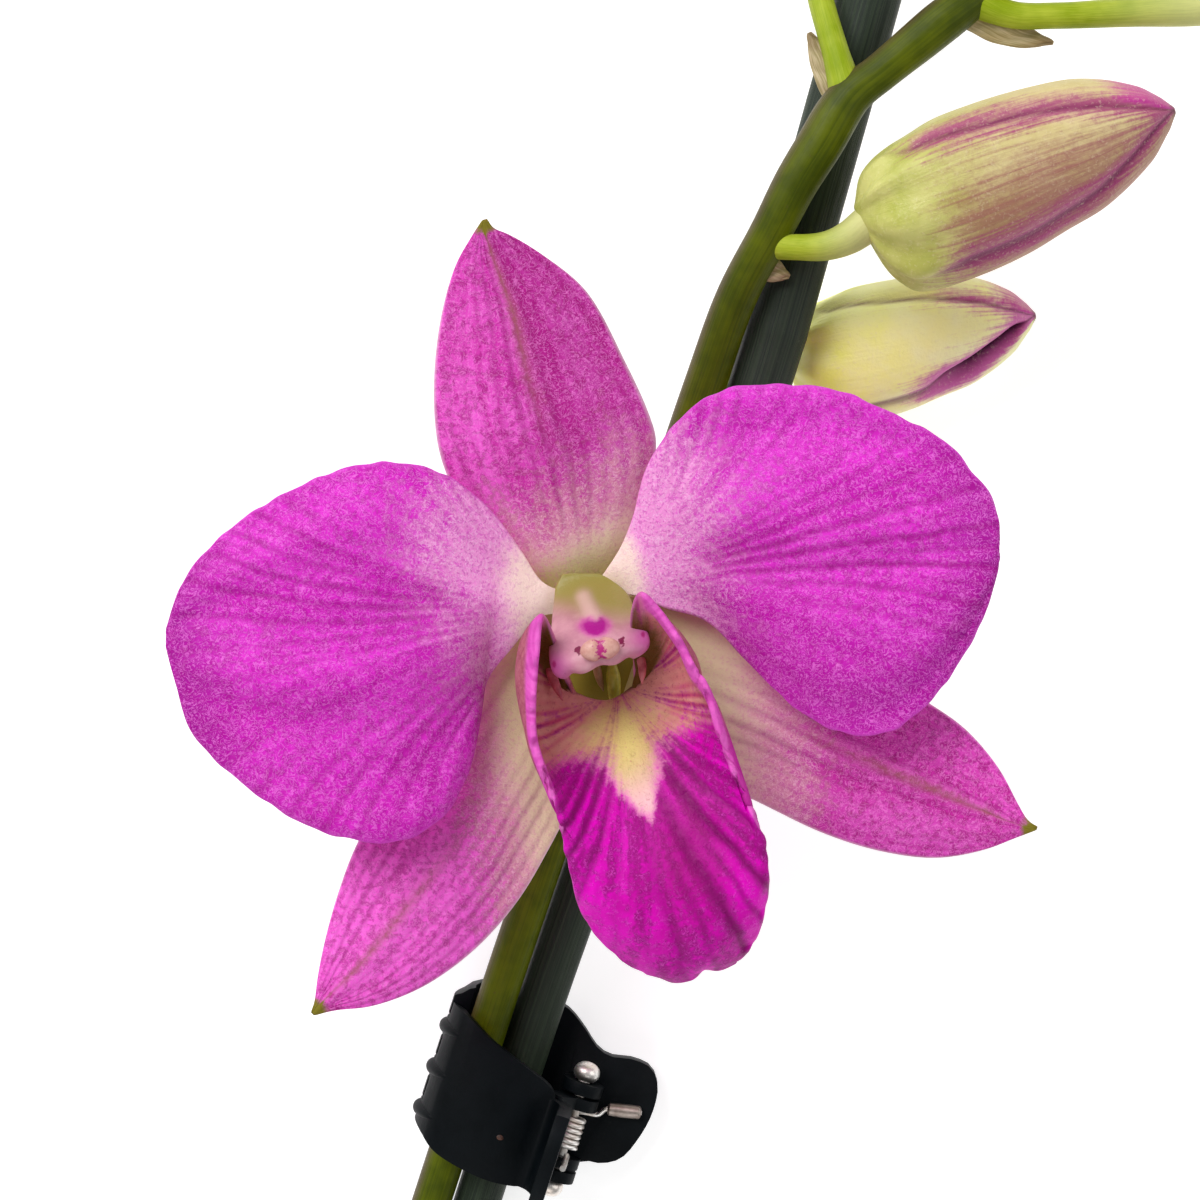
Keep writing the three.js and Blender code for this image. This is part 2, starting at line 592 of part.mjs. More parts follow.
// The coil round the pin, with a sleeve on its leg along the back handle.
function coilSpring() {
  const turnsAt = (turn) => {
    const angle = turn * 2 * Math.PI;
    const across = hinge.x + coilRadius * Math.sin(angle);
    const along = coilMiddle + (turn - coilTurns / 2) * coilPitch;
    return new Vector3(across, along, hinge.y - coilRadius * Math.cos(angle));
  };
  const perTurn = 10;
  const coil = Array.from({ length: coilTurns * perTurn + 1 }, (_, i) => turnsAt(i / perTurn));
  const leg = [
    [9.1, 2.12, -0.55], [10.3, 2.3, -0.65], [10.9, 3.1, -0.4], [12.4, 3.4, -0.35], [14.1, 3.8, -0.15],
  ];
  const legLine = leg.map((place) => new Vector3(...place));
  const up = new Vector3(0.02, 1, 0.01);
  const wire = rod([...coil, ...legLine], round(() => wireRadius), { sides: 5, steps: 84, up });
  return wire.add(rod(legLine.slice(2), round(() => sleeveRadius), { sides: 10, steps: 4 }));
}

// The spring's other leg lies on the front handle and moves with it.
function frontLeg() {
  const line = [[8.5, -1.6, 3], [8.4, -1.6, 5], [8.3, -1.6, 7.2], [8.2, -1.6, 8.8]];
  const places = line.map((place) => new Vector3(...place));
  return rod(places, round(() => legRadius), { sides: 5, steps: 5, up: new Vector3(0, 1, 0) });
}

// Materials.
const finish = (color, roughness, metalness = 0) =>
  new THREE.MeshStandardMaterial({ color, roughness, metalness });
const petalPurple = finish(0xc63cb8, 0.5);
const lipMagenta = finish(0xb8009a, 0.45);
const columnPink = finish(0xe6b8d0, 0.4);
const stemGreen = finish(0x5f7420, 0.5);
const budGreen = finish(0xb9b866, 0.5);
const caneGreen = finish(0x26382f, 0.6);
const clipBlack = finish(0x15171a, 0.3);
const springSteel = finish(0xb4aea4, 0.35, 1);

const spray = new THREE.Group();
const clip = new THREE.Group();

function place(group, name, body, material) {
  const mesh = new THREE.Mesh(geometryOf(body), material);
  mesh.name = name;
  group.add(mesh);
}

place(spray, "stem", stemBody(), stemGreen);
budBodies.forEach((body, i) => place(spray, "bud_" + (i + 1), body, budGreen));
place(spray, "perianth", perianth, petalPurple);
place(spray, "lip", lip, lipMagenta);
place(spray, "column", columnBody(), columnPink);
place(spray, "stake", rod(stakeLine, round(stakeRadius), { sides: 12, steps: 16 }), caneGreen);

place(clip, "clip_back_jaw", backJaw(), clipBlack);
place(clip, "clip_front_jaw", frontJaw(), clipBlack);
place(clip, "clip_pin", hingePin(), springSteel);
place(clip, "clip_spring", coilSpring(), springSteel);
place(clip, "clip_spring_leg", frontLeg(), springSteel);
clip.position.copy(at(...clipPlace, clipHeight));
clip.rotation.z = clipLean;
spray.add(clip);

// The origin is on the surface, under the middle of the whole spray.
const middle = new THREE.Box3().setFromObject(spray, true).getCenter(new Vector3());
spray.position.set(-middle.x, -middle.y, -surfaceHeight);
export default spray;
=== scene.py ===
import math

import bpy
import numpy as np
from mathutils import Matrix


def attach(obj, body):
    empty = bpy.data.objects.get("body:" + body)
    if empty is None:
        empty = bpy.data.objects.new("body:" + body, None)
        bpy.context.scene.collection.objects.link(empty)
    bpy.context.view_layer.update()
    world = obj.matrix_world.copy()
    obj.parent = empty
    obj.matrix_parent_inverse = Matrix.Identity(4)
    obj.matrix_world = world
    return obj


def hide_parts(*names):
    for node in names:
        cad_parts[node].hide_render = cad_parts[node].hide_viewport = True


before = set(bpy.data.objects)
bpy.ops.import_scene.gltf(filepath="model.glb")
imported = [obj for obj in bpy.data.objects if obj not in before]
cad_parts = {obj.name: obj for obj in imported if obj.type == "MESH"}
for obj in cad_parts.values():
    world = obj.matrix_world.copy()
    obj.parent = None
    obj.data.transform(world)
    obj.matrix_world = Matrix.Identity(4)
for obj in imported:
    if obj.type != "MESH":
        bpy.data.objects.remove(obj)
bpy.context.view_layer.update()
print("frame loaded:", len(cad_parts), "nodes")

mm = 0.001
weld = 0.004 * mm  # corners closer than this are one
softAngle = math.radians(50)  # edges blunter than this are shaded smooth
flatAngle = math.radians(2)  # a clip's faces that meet at less are joined
edgeAngle = math.radians(38)  # and its edges that are sharper are rounded
eyeHeight = 220  # mm, of the eye above the open bloom
bloomMiddle = np.array((-18.0308, -7.4226, 32)) * mm  # where the bloom's plane has its middle


def at(places):
    # places in mm, as the eye sees them against the bloom's plane, with their height
    places = np.asarray(places, float)
    reach = (eyeHeight - places[..., 2:]) / eyeHeight
    return np.concatenate([places[..., :2] * reach, places[..., 2:]], -1) * mm + bloomMiddle


def seen(spots):
    # the other way round: where the eye sees spots of the frame, in mm
    spots = (np.asarray(spots) - bloomMiddle) / mm
    return spots[:, :2] * eyeHeight / (eyeHeight - spots[:, 2:])


def smooth(value, low, high):
    share = np.clip((np.asarray(value, float) - low) / (high - low), 0, 1)
    return share * share * (3 - 2 * share)


def between(low, high, share):
    return low + (high - low) * share


def through(points, shares):
    # a smooth line through points, read by their count
    points = np.asarray(points, float)
    points = np.vstack([2 * points[0] - points[1], points, 2 * points[-1] - points[-2]])
    gaps = np.maximum(np.linalg.norm(np.diff(points, axis=0), axis=1) ** 0.5, 1e-6)
    place = np.clip(shares, 0, 1) * (len(points) - 3)
    first = np.minimum(place.astype(int), len(points) - 4)
    t = (place - first)[:, None]
    a, b, c, d = (points[first + step] for step in range(4))
    e, f, g = (gaps[first + step][:, None] for step in range(3))
    leave = ((b - a) / e - (c - a) / (e + f) + (c - b) / f) * f
    arrive = ((c - b) / f - (d - b) / (f + g) + (d - c) / g) * f
    return b + leave * t + (3 * (c - b) - 2 * leave - arrive) * t**2 + (2 * (b - c) + leave + arrive) * t**3


def evenly(points, shares):
    # the same line, read by its length
    fine = np.linspace(0, 1, 40 * len(points))
    dense = through(points, fine)
    run = np.append(0, np.cumsum(np.linalg.norm(np.diff(dense, axis=0), axis=1)))
    return through(points, np.interp(np.clip(shares, 0, 1), run / run[-1], fine))


def profile(pairs):
    where, value = zip(*pairs)
    order = np.linspace(0, 1, len(where))
    return lambda t: through(np.column_stack([where, value]), np.interp(t, where, order))[:, 1]


def span(own, s, t):
    # between an outline's left and right sides: s across, from -1 to 1, and t along
    left, right = evenly(own["left"], t), evenly(own["right"], t)
    return left + (right - left) * ((s + 1) / 2)[:, None]


def near(flat, place, size):
    # a soft spot of that size round a place
    return np.exp(-(((flat - place) / size) ** 2).sum(1))


def hump(value, width):
    return np.exp(-((value / width) ** 2))


def rolled(places, lean):
    # turned by an angle in the plane of X and Y
    turn = np.array(((math.cos(lean), -math.sin(lean)), (math.sin(lean), math.cos(lean))))
    return np.concatenate([places[..., :2] @ turn.T, places[..., 2:]], -1)


def only(piece):
    bpy.ops.object.select_all(action="DESELECT")
    piece.select_set(True)
    bpy.context.view_layer.objects.active = piece


def grid(name, across, along):
    bpy.ops.object.select_all(action="DESELECT")
    bpy.ops.mesh.primitive_grid_add(x_subdivisions=across, y_subdivisions=along, size=2)
    piece = bpy.context.object
    piece.name = piece.data.name = name
    return piece


def ball(name, segments, rings):
    bpy.ops.object.select_all(action="DESELECT")
    bpy.ops.mesh.primitive_uv_sphere_add(segments=segments, ring_count=rings, radius=1)
    piece = bpy.context.object
    piece.name = piece.data.name = name
    bpy.ops.object.shade_smooth()
    return piece


def corners(piece):
    flat = np.empty(len(piece.data.vertices) * 3)
    piece.data.vertices.foreach_get("co", flat)
    return flat.reshape(-1, 3)


def moveCorners(piece, spots):
    piece.data.vertices.foreach_set("co", np.asarray(spots, np.float32).ravel())
    piece.data.update()


def mark(piece, name, values):
    # a number for each corner, for the piece's material
    made = piece.data.attributes.new(name, "FLOAT", "POINT")
    made.data.foreach_set("value", np.asarray(values, np.float32))


def apply(piece, kind, **settings):
    only(piece)
    bpy.ops.object.modifier_add(type=kind)
    modifier = piece.modifiers[-1]
    for name, value in settings.items():
        setattr(modifier, name, value)
    bpy.ops.object.modifier_apply(modifier=modifier.name)


def edit(piece, *steps):
    only(piece)
    bpy.ops.object.mode_set(mode="EDIT")
    bpy.ops.mesh.select_all(action="SELECT")
    for step in steps:
        step()
    bpy.ops.object.mode_set(mode="OBJECT")


def faceOut():
    bpy.ops.mesh.select_all(action="SELECT")
    bpy.ops.mesh.normals_make_consistent(inside=False)


def blade(name, across, along, surface, marks, thickness, rim=0.45, levels=1, faceDown=False):
    # a leaf-like body of its own thickness, thinner along its margin
    piece = grid(name, across, along)
    flat = corners(piece)
    s, t = flat[:, 0], (flat[:, 1] + 1) / 2
    moveCorners(piece, surface(s, t))
    for key, values in marks(s, t).items():
        mark(piece, key, values)
    full = piece.vertex_groups.new(name="full")
    weights = smooth(1 - np.abs(s), 0, 0.07) * smooth(1 - t, 0, 0.05)
    for index, weight in enumerate(weights):
        full.add([index], float(weight), "REPLACE")
    apply(
        piece, "SOLIDIFY", thickness=thickness * mm, offset=0, use_quality_normals=True,
        vertex_group="full", thickness_vertex_group=rim,
    )
    count = len(s)
    doubled = np.arange(len(piece.data.vertices)) >= count
    mark(piece, "behind", doubled != faceDown)
    apply(piece, "SUBSURF", levels=levels, render_levels=levels)
    edit(piece, faceOut)
    bpy.ops.object.shade_smooth()
    return piece


def tube(name, line, section, around=24, along=40, up=(0, 0, 1), marks=None, ease=False, levels=0):
    # a grid rolled up along a line; section gives how far its corners stand beside and above the line
    piece = grid(name, around, along)
    flat = corners(piece)
    angle, t = flat[:, 0] * math.pi, (flat[:, 1] + 1) / 2
    if ease:
        t = (1 - np.cos(math.pi * t)) / 2
    step = 2e-3
    way = evenly(line, t + step) - evenly(line, t - step)
    way /= np.linalg.norm(way, axis=1)[:, None]
    over = np.asarray(up, float) - way * (way @ np.asarray(up, float))[:, None]
    over /= np.linalg.norm(over, axis=1)[:, None]
    side = np.cross(way, over)
    beside, above = section(t, angle)
    moveCorners(piece, evenly(line, t) + side * beside[:, None] * mm + over * above[:, None] * mm)
    mark(piece, "around", np.sin(angle) * 0.5)
    mark(piece, "facing", np.cos(angle) * 0.5)
    mark(piece, "along", t)
    for key, values in (marks(t, angle) if marks else {}).items():
        mark(piece, key, values)
    edit(
        piece,
        lambda: bpy.ops.mesh.remove_doubles(threshold=weld),
        lambda: bpy.ops.mesh.fill_holes(sides=0),
        faceOut,
    )
    if levels:
        apply(piece, "SUBSURF", levels=levels, render_levels=levels)
    only(piece)
    bpy.ops.object.shade_smooth_by_angle(angle=softAngle)
    return piece


def roundSection(radius):
    return lambda t, angle: (np.sin(angle) * radius(t), np.cos(angle) * radius(t))


def finished(piece, paint, node, body="spray"):
    piece.data.materials.clear()
    piece.data.materials.append(paint)
    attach(piece, body)
    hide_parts(node)
    return piece


def rgb(red, green, blue):
    parts = [part / 255 for part in (red, green, blue)]
    return [part / 12.92 if part < 0.04045 else ((part + 0.055) / 1.055) ** 2.4 for part in parts] + [1]


class Wire:
    # a number on its way through the nodes
    def __init__(self, paint, socket):
        self.paint, self.socket = paint, socket

    def math(self, operation, other=None, flipped=False, clamp=False):
        pair = [self] if other is None else [other, self] if flipped else [self, other]
        settings = {"operation": operation, "use_clamp": clamp}
        return self.paint.node("ShaderNodeMath", settings, dict(enumerate(pair)))

    def __add__(self, other):
        return self.math("ADD", other)

    def __sub__(self, other):
        return self.math("SUBTRACT", other)

    def __rsub__(self, other):
        return self.math("SUBTRACT", other, flipped=True)

    def __mul__(self, other):
        return self.math("MULTIPLY", other)

    __radd__, __rmul__ = __add__, __mul__

    def size(self):
        return self.math("ABSOLUTE")

    def clamped(self):
        return self.math("ADD", 0, clamp=True)

    def above(self, low, high):
        limits = {"Value": self, "From Min": low, "From Max": high}
        return self.paint.node("ShaderNodeMapRange", {"interpolation_type": "SMOOTHSTEP"}, limits)


class Paint:
    def __init__(self, name):
        self.material = bpy.data.materials.new(name)
        self.material.use_nodes = True
        self.tree = self.material.node_tree
        self.tree.nodes.clear()

    def node(self, kind, settings=None, values=None, output=0):
        made = self.tree.nodes.new(kind)
        for name, value in (settings or {}).items():
            setattr(made, name, value)
        for key, value in (values or {}).items():
            if isinstance(value, Wire):
                self.tree.links.new(value.socket, made.inputs[key])
            else:
                made.inputs[key].default_value = value
        return Wire(self, made.outputs[output])

    def mark(self, name):
        return self.node("ShaderNodeAttribute", {"attribute_name": name}, output=2)

    def place(self):
        return self.node("ShaderNodeTexCoord", output=3)

    def vector(self, x, y, z=0):
        return self.node("ShaderNodeCombineXYZ", values={0: x, 1: y, 2: z})

    def noise(self, vector, scale, detail=2, roughness=0.5, distortion=0):
        values = {
            "Vector": vector, "Scale": scale, "Detail": detail,
            "Roughness": roughness, "Distortion": distortion,
        }
        return self.node("ShaderNodeTexNoise", values=values)

    def grain(self, *settings):
        return self.noise(self.place(), *settings)

    def streaks(self, count, stretch, *settings):
        # round a tube the pattern follows sine and cosine, so that it has no seam of its own
        around, facing, along = self.mark("around"), self.mark("facing"), self.mark("along")
        return self.noise(self.vector(around * count, facing * count, along * stretch), 1, *settings)

    def mix(self, share, below, above):
        settings = {"data_type": "RGBA", "clamp_factor": True}
        return self.node("ShaderNodeMix", settings, {0: share, 6: below, 7: above}, output=2)

    def over(self, colour, *layers):
        # each layer is a share and the colour that it brings
        for share, above in layers:
            colour = self.mix(share, colour, above)
        return colour

    def veins(self, thickness, wobble):
        # lines that fan out, with others between them further out; thickness in mm
        turns = self.mark("turns") + (wobble - 0.5) * 0.3
        gap, strength = self.mark("gap"), self.mark("strength")
        first = 1 - (turns.math("PINGPONG", 0.5) * gap).above(0, thickness)
        later = 1 - ((turns + 0.5).math("PINGPONG", 0.5) * gap).above(0, thickness * 0.6)
        return ((first + later * gap.above(1.4, 3) * 0.6) * strength).clamped()

    def bump(self, height, depth):
        # depth in mm
        values = {"Height": height, "Distance": depth * mm}
        return self.node("ShaderNodeBump", values=values)

    def done(self, colour, roughness, normal=None, **constants):
        values = {"Base Color": colour, "Roughness": roughness}
        if normal:
            values["Normal"] = normal
        values.update({name.replace("_", " "): value for name, value in constants.items()})
        shader = self.node("ShaderNodeBsdfPrincipled", values=values)
        output = self.tree.nodes.new("ShaderNodeOutputMaterial")
        self.tree.links.new(shader.socket, output.inputs["Surface"])
        return self.material

    def flesh(self, colour, roughness, normal, shine, depths, share=0.05):
        # a share of the light goes in and comes out again, as far off as depths say in m
        return self.done(
            colour, roughness, normal, Specular_IOR_Level=shine, Subsurface_Weight=share,
            Subsurface_Radius=depths, Subsurface_Scale=1.0,
        )


view = {"lens": 79.2, "sensor": 36, "floorSide": 2.0, "floorGlow": 0.62}


def addCamera():
    eye = bloomMiddle + np.array((0, 0, eyeHeight * mm))
    bpy.ops.object.camera_add(location=eye, rotation=(0, 0, 0))
    camera = bpy.context.object
    camera.name = "camera"
    camera.data.lens = view["lens"]
    camera.data.sensor_width = view["sensor"]
    camera.data.clip_start = 0.01
    bpy.context.scene.camera = camera


lights = {
    # name: (place in m, width in m, watts)
    "keyLight": ((-0.42, 0.5, 0.62), 0.7, 7.6),
    "fillLight": ((0.6, 0.1, 0.5), 0.7, 1.9),
    "frontLight": ((-0.2, -0.6, 0.5), 0.7, 1.7),
}
daylight = 0.22


def addLights():
    for name, (place, width, watts) in lights.items():
        bpy.ops.object.light_add(type="AREA", location=place)
        light = bpy.context.object
        light.name = name
        light.data.shape = "DISK"
        light.data.size = width
        light.data.energy = watts
        toMiddle = -light.location
        light.rotation_euler = toMiddle.to_track_quat("-Z", "Y").to_euler()
    world = bpy.data.worlds.new("studio")
    bpy.context.scene.world = world
    world.use_nodes = True
    background = world.node_tree.nodes["Background"]
    background.inputs["Color"].default_value = (1, 1, 1, 1)
    background.inputs["Strength"].default_value = daylight
    bpy.context.scene.view_settings.view_transform = "Standard"


def addFloor():
    bpy.ops.mesh.primitive_plane_add(size=view["floorSide"])
    floor = bpy.context.object
    floor.name = "floor"
    paint = Paint("floorWhite")
    speck = paint.grain(900, 3)
    colour = paint.mix(speck, rgb(216, 216, 216), rgb(222, 222, 222))
    glow = {"Emission_Color": (1, 1, 1, 1), "Emission_Strength": view["floorGlow"]}
    floor.data.materials.append(paint.done(colour, 0.9, **glow))


addCamera()
addLights()
addFloor()
print("camera, light and floor")


# each blade's colours; one stands for painted light, and one for painted shade that also darkens the petal
# tips
bladePaintValues = {
    "petal": {
        "body": rgb(200, 22, 178), "bright": rgb(226, 50, 206), "deep": rgb(176, 6, 152),
        "toneAndShade": rgb(150, 12, 134), "vein": rgb(150, 0, 122), "glintFleck": rgb(242, 128, 230),
        "blush": rgb(246, 156, 222), "base": rgb(255, 226, 218), "tip": rgb(196, 52, 184),
        "rim": rgb(212, 74, 198), "midrib": rgb(208, 36, 188), "light": rgb(240, 84, 218),
        "paleGlint": rgb(255, 208, 242), "streaks": 6, "veinWidth": 0.62, "glintFleckShare": 0.62,
    },
    "sepal": {
        "body": rgb(200, 36, 160), "bright": rgb(226, 82, 196), "deep": rgb(154, 8, 112),
        "toneAndShade": rgb(140, 18, 98), "vein": rgb(148, 6, 108), "glintFleck": rgb(244, 134, 220),
        "blush": rgb(222, 146, 176), "base": rgb(244, 220, 196), "tip": rgb(126, 116, 34),
        "rim": rgb(244, 206, 226), "midrib": rgb(160, 104, 84), "light": rgb(252, 104, 222),
        "paleGlint": rgb(250, 204, 226), "streaks": 6, "veinWidth": 0.5, "glintFleckShare": 0.58,
    },
}
oliveCream = rgb(176, 160, 102)


def bladePaint(name):
    values = bladePaintValues[name]
    paint = Paint(name + "Skin")
    u, v = paint.mark("fanAcross"), paint.mark("fanAlong")
    streak = paint.noise(paint.vector(u * values["streaks"], v * 1.4, 3.0), 1, 3, 0.6, 0.6)
    cloud = paint.grain(160, 3, 0.6)
    grain = paint.grain(3400, 2, 0.6)
    cells = paint.grain(1300, 3, 0.7, 0.4)
    curls = paint.grain(2000, 1, 0.5, 1.8)
    wobble = paint.grain(420, 3, 0.6)
    veins = paint.veins(values["veinWidth"], wobble)
    pale, cream, light = paint.mark("pale"), paint.mark("cream"), paint.mark("light")
    # painted glints: the sparkle of the cells as small pale flecks, paler still where the blade is pale
    glintFlecks = ((1 - (curls - 0.5).size() * 14).clamped() + grain.above(0.6, 0.7) * 0.4).clamped()
    ragged = (cells - 0.5) * 1.4 + (streak - 0.5) * 0.7
    paleGlint = paint.mix(pale.above(0.1, 0.6), values["glintFleck"], values["paleGlint"])
    base = paint.mix(paint.mark("olive"), values["base"], oliveCream)
    specks = pale.above(0.05, 0.4) * grain.above(0.54, 0.62) * (1 - cream * 0.85)
    colour = paint.over(
        paint.mix((cloud * 0.4 + streak * 0.6).above(0.38, 0.6), values["body"], values["bright"]),
        # painted light where a blade lies in shade, then painted shade, which also darkens the petals towards
        # their tips
        (light * 0.75, values["light"]),
        (paint.mark("toneAndShade") * 0.6, values["toneAndShade"]),
        (cells.above(0.42, 0.62) * (0.7 - light * 0.12), values["deep"]),
        ((pale + ragged).above(0.12, 0.9) * 0.95, values["blush"]),
        (glintFlecks * values["glintFleckShare"], paleGlint),
        ((cream + ragged * 0.35).above(0.12, 0.8), base),
        (specks * 0.5, values["body"]),
        ((veins * (0.8 + (wobble - 0.5) * 1.4)).clamped() * 0.85, values["vein"]),
        (paint.mark("midrib") * (0.3 + cells * 0.5), values["midrib"]),
        (paint.mark("rim") * 0.7, values["rim"]),
        ((paint.mark("tipGreen") + (cells - 0.5) * 0.6).above(0.35, 0.9), values["tip"]),
    )
    relief = grain * 0.4 + cells * 0.6 + glintFlecks * 0.2 - veins * 0.8
    rough = 0.52 + (cells - 0.5) * 0.25
    return paint.flesh(colour, rough, paint.bump(relief, 0.08), 0.13, (0.0012, 0.0006, 0.0009))


def fanned(flat, base, tip):
    # angle and distance from the blade's base; the veins bend outwards as they go
    reach = np.asarray(tip, float) - base
    way = flat - np.asarray(base, float)
    share = np.linalg.norm(way, axis=1) / np.linalg.norm(reach)
    turn = np.arctan2(reach[0] * way[:, 1] - reach[1] * way[:, 0], way @ reach)
    return turn / (0.55 + 0.45 * share), share


def furrows(u, v, pitch, seed):
    # how deep the furrows are, and for the veins that run in them their count and strength
    wander = 0.9 * np.sin(3.1 * u + seed) + 0.5 * np.sin(6 * v + 4 * u + 2 * seed)
    turns = u / pitch + wander / math.pi
    strength = 0.6 + 0.4 * np.sin(5.3 * u + 1.7 * seed + 2 * v)
    return (1 - np.abs(np.sin(turns * math.pi))) ** 3 * strength, turns, strength


def veinMarks(u, v, build, seed, reach):
    turns, strength = furrows(u, v, build["pitch"], seed)[1:]
    return {"turns": turns, "strength": strength, "gap": build["pitch"] * (0.55 + 0.45 * v) * v * reach}


petals = {
    "leftPetal": {
        "left": [
            (-1.7, -2), (-4.6, -1.1), (-8, -4.6), (-9.8, -7.2), (-10.3, -10.7), (-11, -14.3), (-13.2, -18.2),
            (-16.9, -20.2), (-20.6, -20), (-24.7, -18.7), (-30.2, -15), (-34.1, -10.9), (-35.5, -6.3),
            (-36.2, -3.8),
        ],
        "right": [
            (-1.3, 0.3), (-4.8, 1.4), (-6.7, 4.2), (-9.4, 7.8), (-13.2, 10.6), (-16.9, 11.5), (-20.6, 11.2),
            (-24.9, 9.6), (-30.2, 6.5), (-34.1, 2.6), (-35.3, 0.3), (-36.2, -2.5),
        ],
        "base": (-3.2, -0.6), "tip": (-36, -6), "phase": 1, "upper": 1, "seed": 1.3,
        "fan": 0.16, "shade": 0, "cream": 0.24,
    },
    "rightPetal": {
        "left": [
            (-0.7, 0.8), (1.5, 3.8), (2.7, 6.7), (4, 11.3), (7.1, 15.6), (10.4, 17.6), (14.2, 18),
            (19.5, 17.6), (23.5, 16), (29.1, 13), (31.2, 10.4), (32.6, 8.8), (33.3, 5),
        ],
        "right": [
            (0, -1.8), (2.2, 0.5), (5.5, -0.7), (9, -1.8), (13, -5.9), (16.5, -9.2), (20.2, -11.1),
            (23.9, -11.1), (27.5, -8.5), (30.2, -4.8), (32.3, -0.6), (33.3, 3.7),
        ],
        "base": (1.2, 1.2), "tip": (33, 6), "phase": 2.4, "upper": -1, "seed": 4.1,
        "fan": 0.22, "shade": 0.9, "cream": 0.14,
    },
}
petalBuild = {
    "across": 60, "along": 66, "thickness": 0.8, "rise": (-7.8, 0.3, -0.1, 0.66), "arch": 1.2, "fold": 0.5,
    "ripple": 0.2, "edgeWave": 0.2, "furrow": 0.15, "pitch": 0.105, "frill": 0.09, "reach": 33,
}


def petal(name):
    own, build = petals[name], petalBuild

    def outline(s, t):
        a, b = evenly(own["left"], t), evenly(own["right"], t)
        width = b - a
        flat = a + width * ((s + 1) / 2)[:, None]
        out = width / np.maximum(np.linalg.norm(width, axis=1), 0.5)[:, None]
        frill = build["frill"] * (np.sin(95 * t + own["seed"]) + 0.7 * np.sin(151 * t)) * smooth(t, 0.15, 0.4)
        return flat + out * (frill * np.sign(s) * np.abs(s) ** 14)[:, None]

    def surface(s, t):
        flat = outline(s, t)
        u, v = fanned(flat, own["base"], own["tip"])
        bow = np.sin(math.pi * np.clip(t, 0, 1))
        low, high, since, until = build["rise"]
        depth = between(low, high, smooth(t, since, until)) - build["arch"] * s * s * bow
        depth += build["fold"] * np.cos(8 * s + own["phase"]) * bow**1.5 * smooth(t, 0.08, 0.4)
        depth += build["ripple"] * np.sin(15 * s + 6 * t) * smooth(t, 0.25, 0.6) * bow
        depth -= build["furrow"] * furrows(u, v, build["pitch"], own["seed"])[0] * smooth(v, 0.15, 0.4)
        depth += build["edgeWave"] * np.abs(s) ** 10 * np.sin(26 * t + own["seed"]) * bow
        return at(np.column_stack([flat, depth]))

    def marks(s, t):
        flat = outline(s, t)
        u, v = fanned(flat, own["base"], own["tip"])
        upper = smooth(own["upper"] * s, -0.2, 1.0)
        lines = veinMarks(u, v, build, own["seed"], build["reach"])
        lines["strength"] *= (0.4 + 0.6 * hump(u - own["fan"], 0.5)) * smooth(v, 0.1, 0.35)
        # painted shade on the right petal's lower side, away from the light, and darker towards each petal's
        # tip as well
        shade = own["shade"] * smooth(-own["upper"] * s, 0.1, 0.9)
        return {
            **lines, "fanAcross": u, "fanAlong": v,
            "toneAndShade": 1.3 * smooth(v, 0.8, 1.0) + shade,
            "pale": 1 - smooth(v - 0.16 * upper, 0.03, 0.48),
            "cream": 1 - smooth(v - 0.06 * upper, 0.02, own["cream"]),
            "rim": smooth(np.abs(s), 0.985, 1),
            "olive": 0.5 * (1 - smooth(v, 0, 0.07)),
        }

    piece = blade(name, build["across"], build["along"], surface, marks, build["thickness"])
    return finished(piece, petalSkin, "perianth")


sepals = {
    "dorsalSepal": {
        "left": [
            (-3.2, -0.8), (-6, 1.7), (-9.3, 5.3), (-12, 8.8), (-13.3, 11.9), (-13.8, 15), (-13.8, 19.5),
            (-13.1, 24.4), (-11.9, 28.2), (-10.4, 30.6), (-9.75, 31.7),
        ],
        "right": [
            (-0.7, 0), (1.8, 3.3), (3.8, 8.3), (4.7, 13.2), (4.1, 15.5), (2.1, 19.9), (-1.1, 25.7),
            (-4.6, 28.6), (-7.3, 30.2), (-9, 30.9), (-9.45, 31.8),
        ],
        "rise": (-9, -4, 0.5), "keel": 1.6, "hook": 1.2, "seed": 0.4,
        "pale": (0.1, 0.5), "cream": (0.04, 0.3),
        "shade": 0.75, "light": 0, "olive": 0.05, "inner": 0.6, "veins": 0.7,
    },
    "leftSepal": {
        "left": [
            (0, -7.5), (-1, -11.7), (-2.3, -16.7), (-4.5, -21.2), (-7, -25.3), (-10.5, -29.2), (-14.7, -32.2),
            (-19, -33.8), (-22.3, -34.1), (-23.9, -34.6),
        ],
        "right": [
            (-2.8, 0), (-7.8, -2.8), (-13, -8.3), (-16.8, -14.5), (-20.2, -20.2), (-21.9, -24.7),
            (-23, -28.8), (-23.5, -31.5), (-23.7, -33.4), (-24.1, -34.4),
        ],
        "rise": (-9, -5.5, 0.7), "keel": 1.4, "hook": 1.5, "seed": 2.2,
        "pale": (0.26, 0.58), "cream": (0.16, 0.46),
        "shade": 0, "light": 1, "olive": 0.7, "inner": -1, "veins": 0.6,
    },
    "rightSepal": {
        "left": [
            (-0.5, -0.5), (5, 0.8), (14.2, -1.8), (21.7, -5.3), (27.6, -8.7), (30.5, -10.8), (33.2, -14),
            (34.9, -17.2), (35.7, -18.5), (36.5, -18.9),
        ],
        "right": [
            (-0.2, -7.3), (1.7, -11.7), (6.7, -14.2), (12.2, -16.4), (18.5, -19.4), (23.2, -20.9),
            (28, -21.5), (32.1, -20.8), (34.9, -19.7), (36.4, -19.15),
        ],
        "rise": (-9, -5.5, 0.7), "keel": 1.4, "hook": 1.5, "seed": 3.7,
        "pale": (0.34, 0.62), "cream": (0.2, 0.5),
        "shade": 0.3, "light": 0.15, "olive": 0.7, "inner": 0.3, "veins": 0.55,
    },
}
sepalBuild = {
    "across": 40, "along": 64, "thickness": 0.8, "groove": 0.16, "ripple": 0.12, "furrow": 0.07,
    "pitch": 0.17, "gap": 1.3,
}


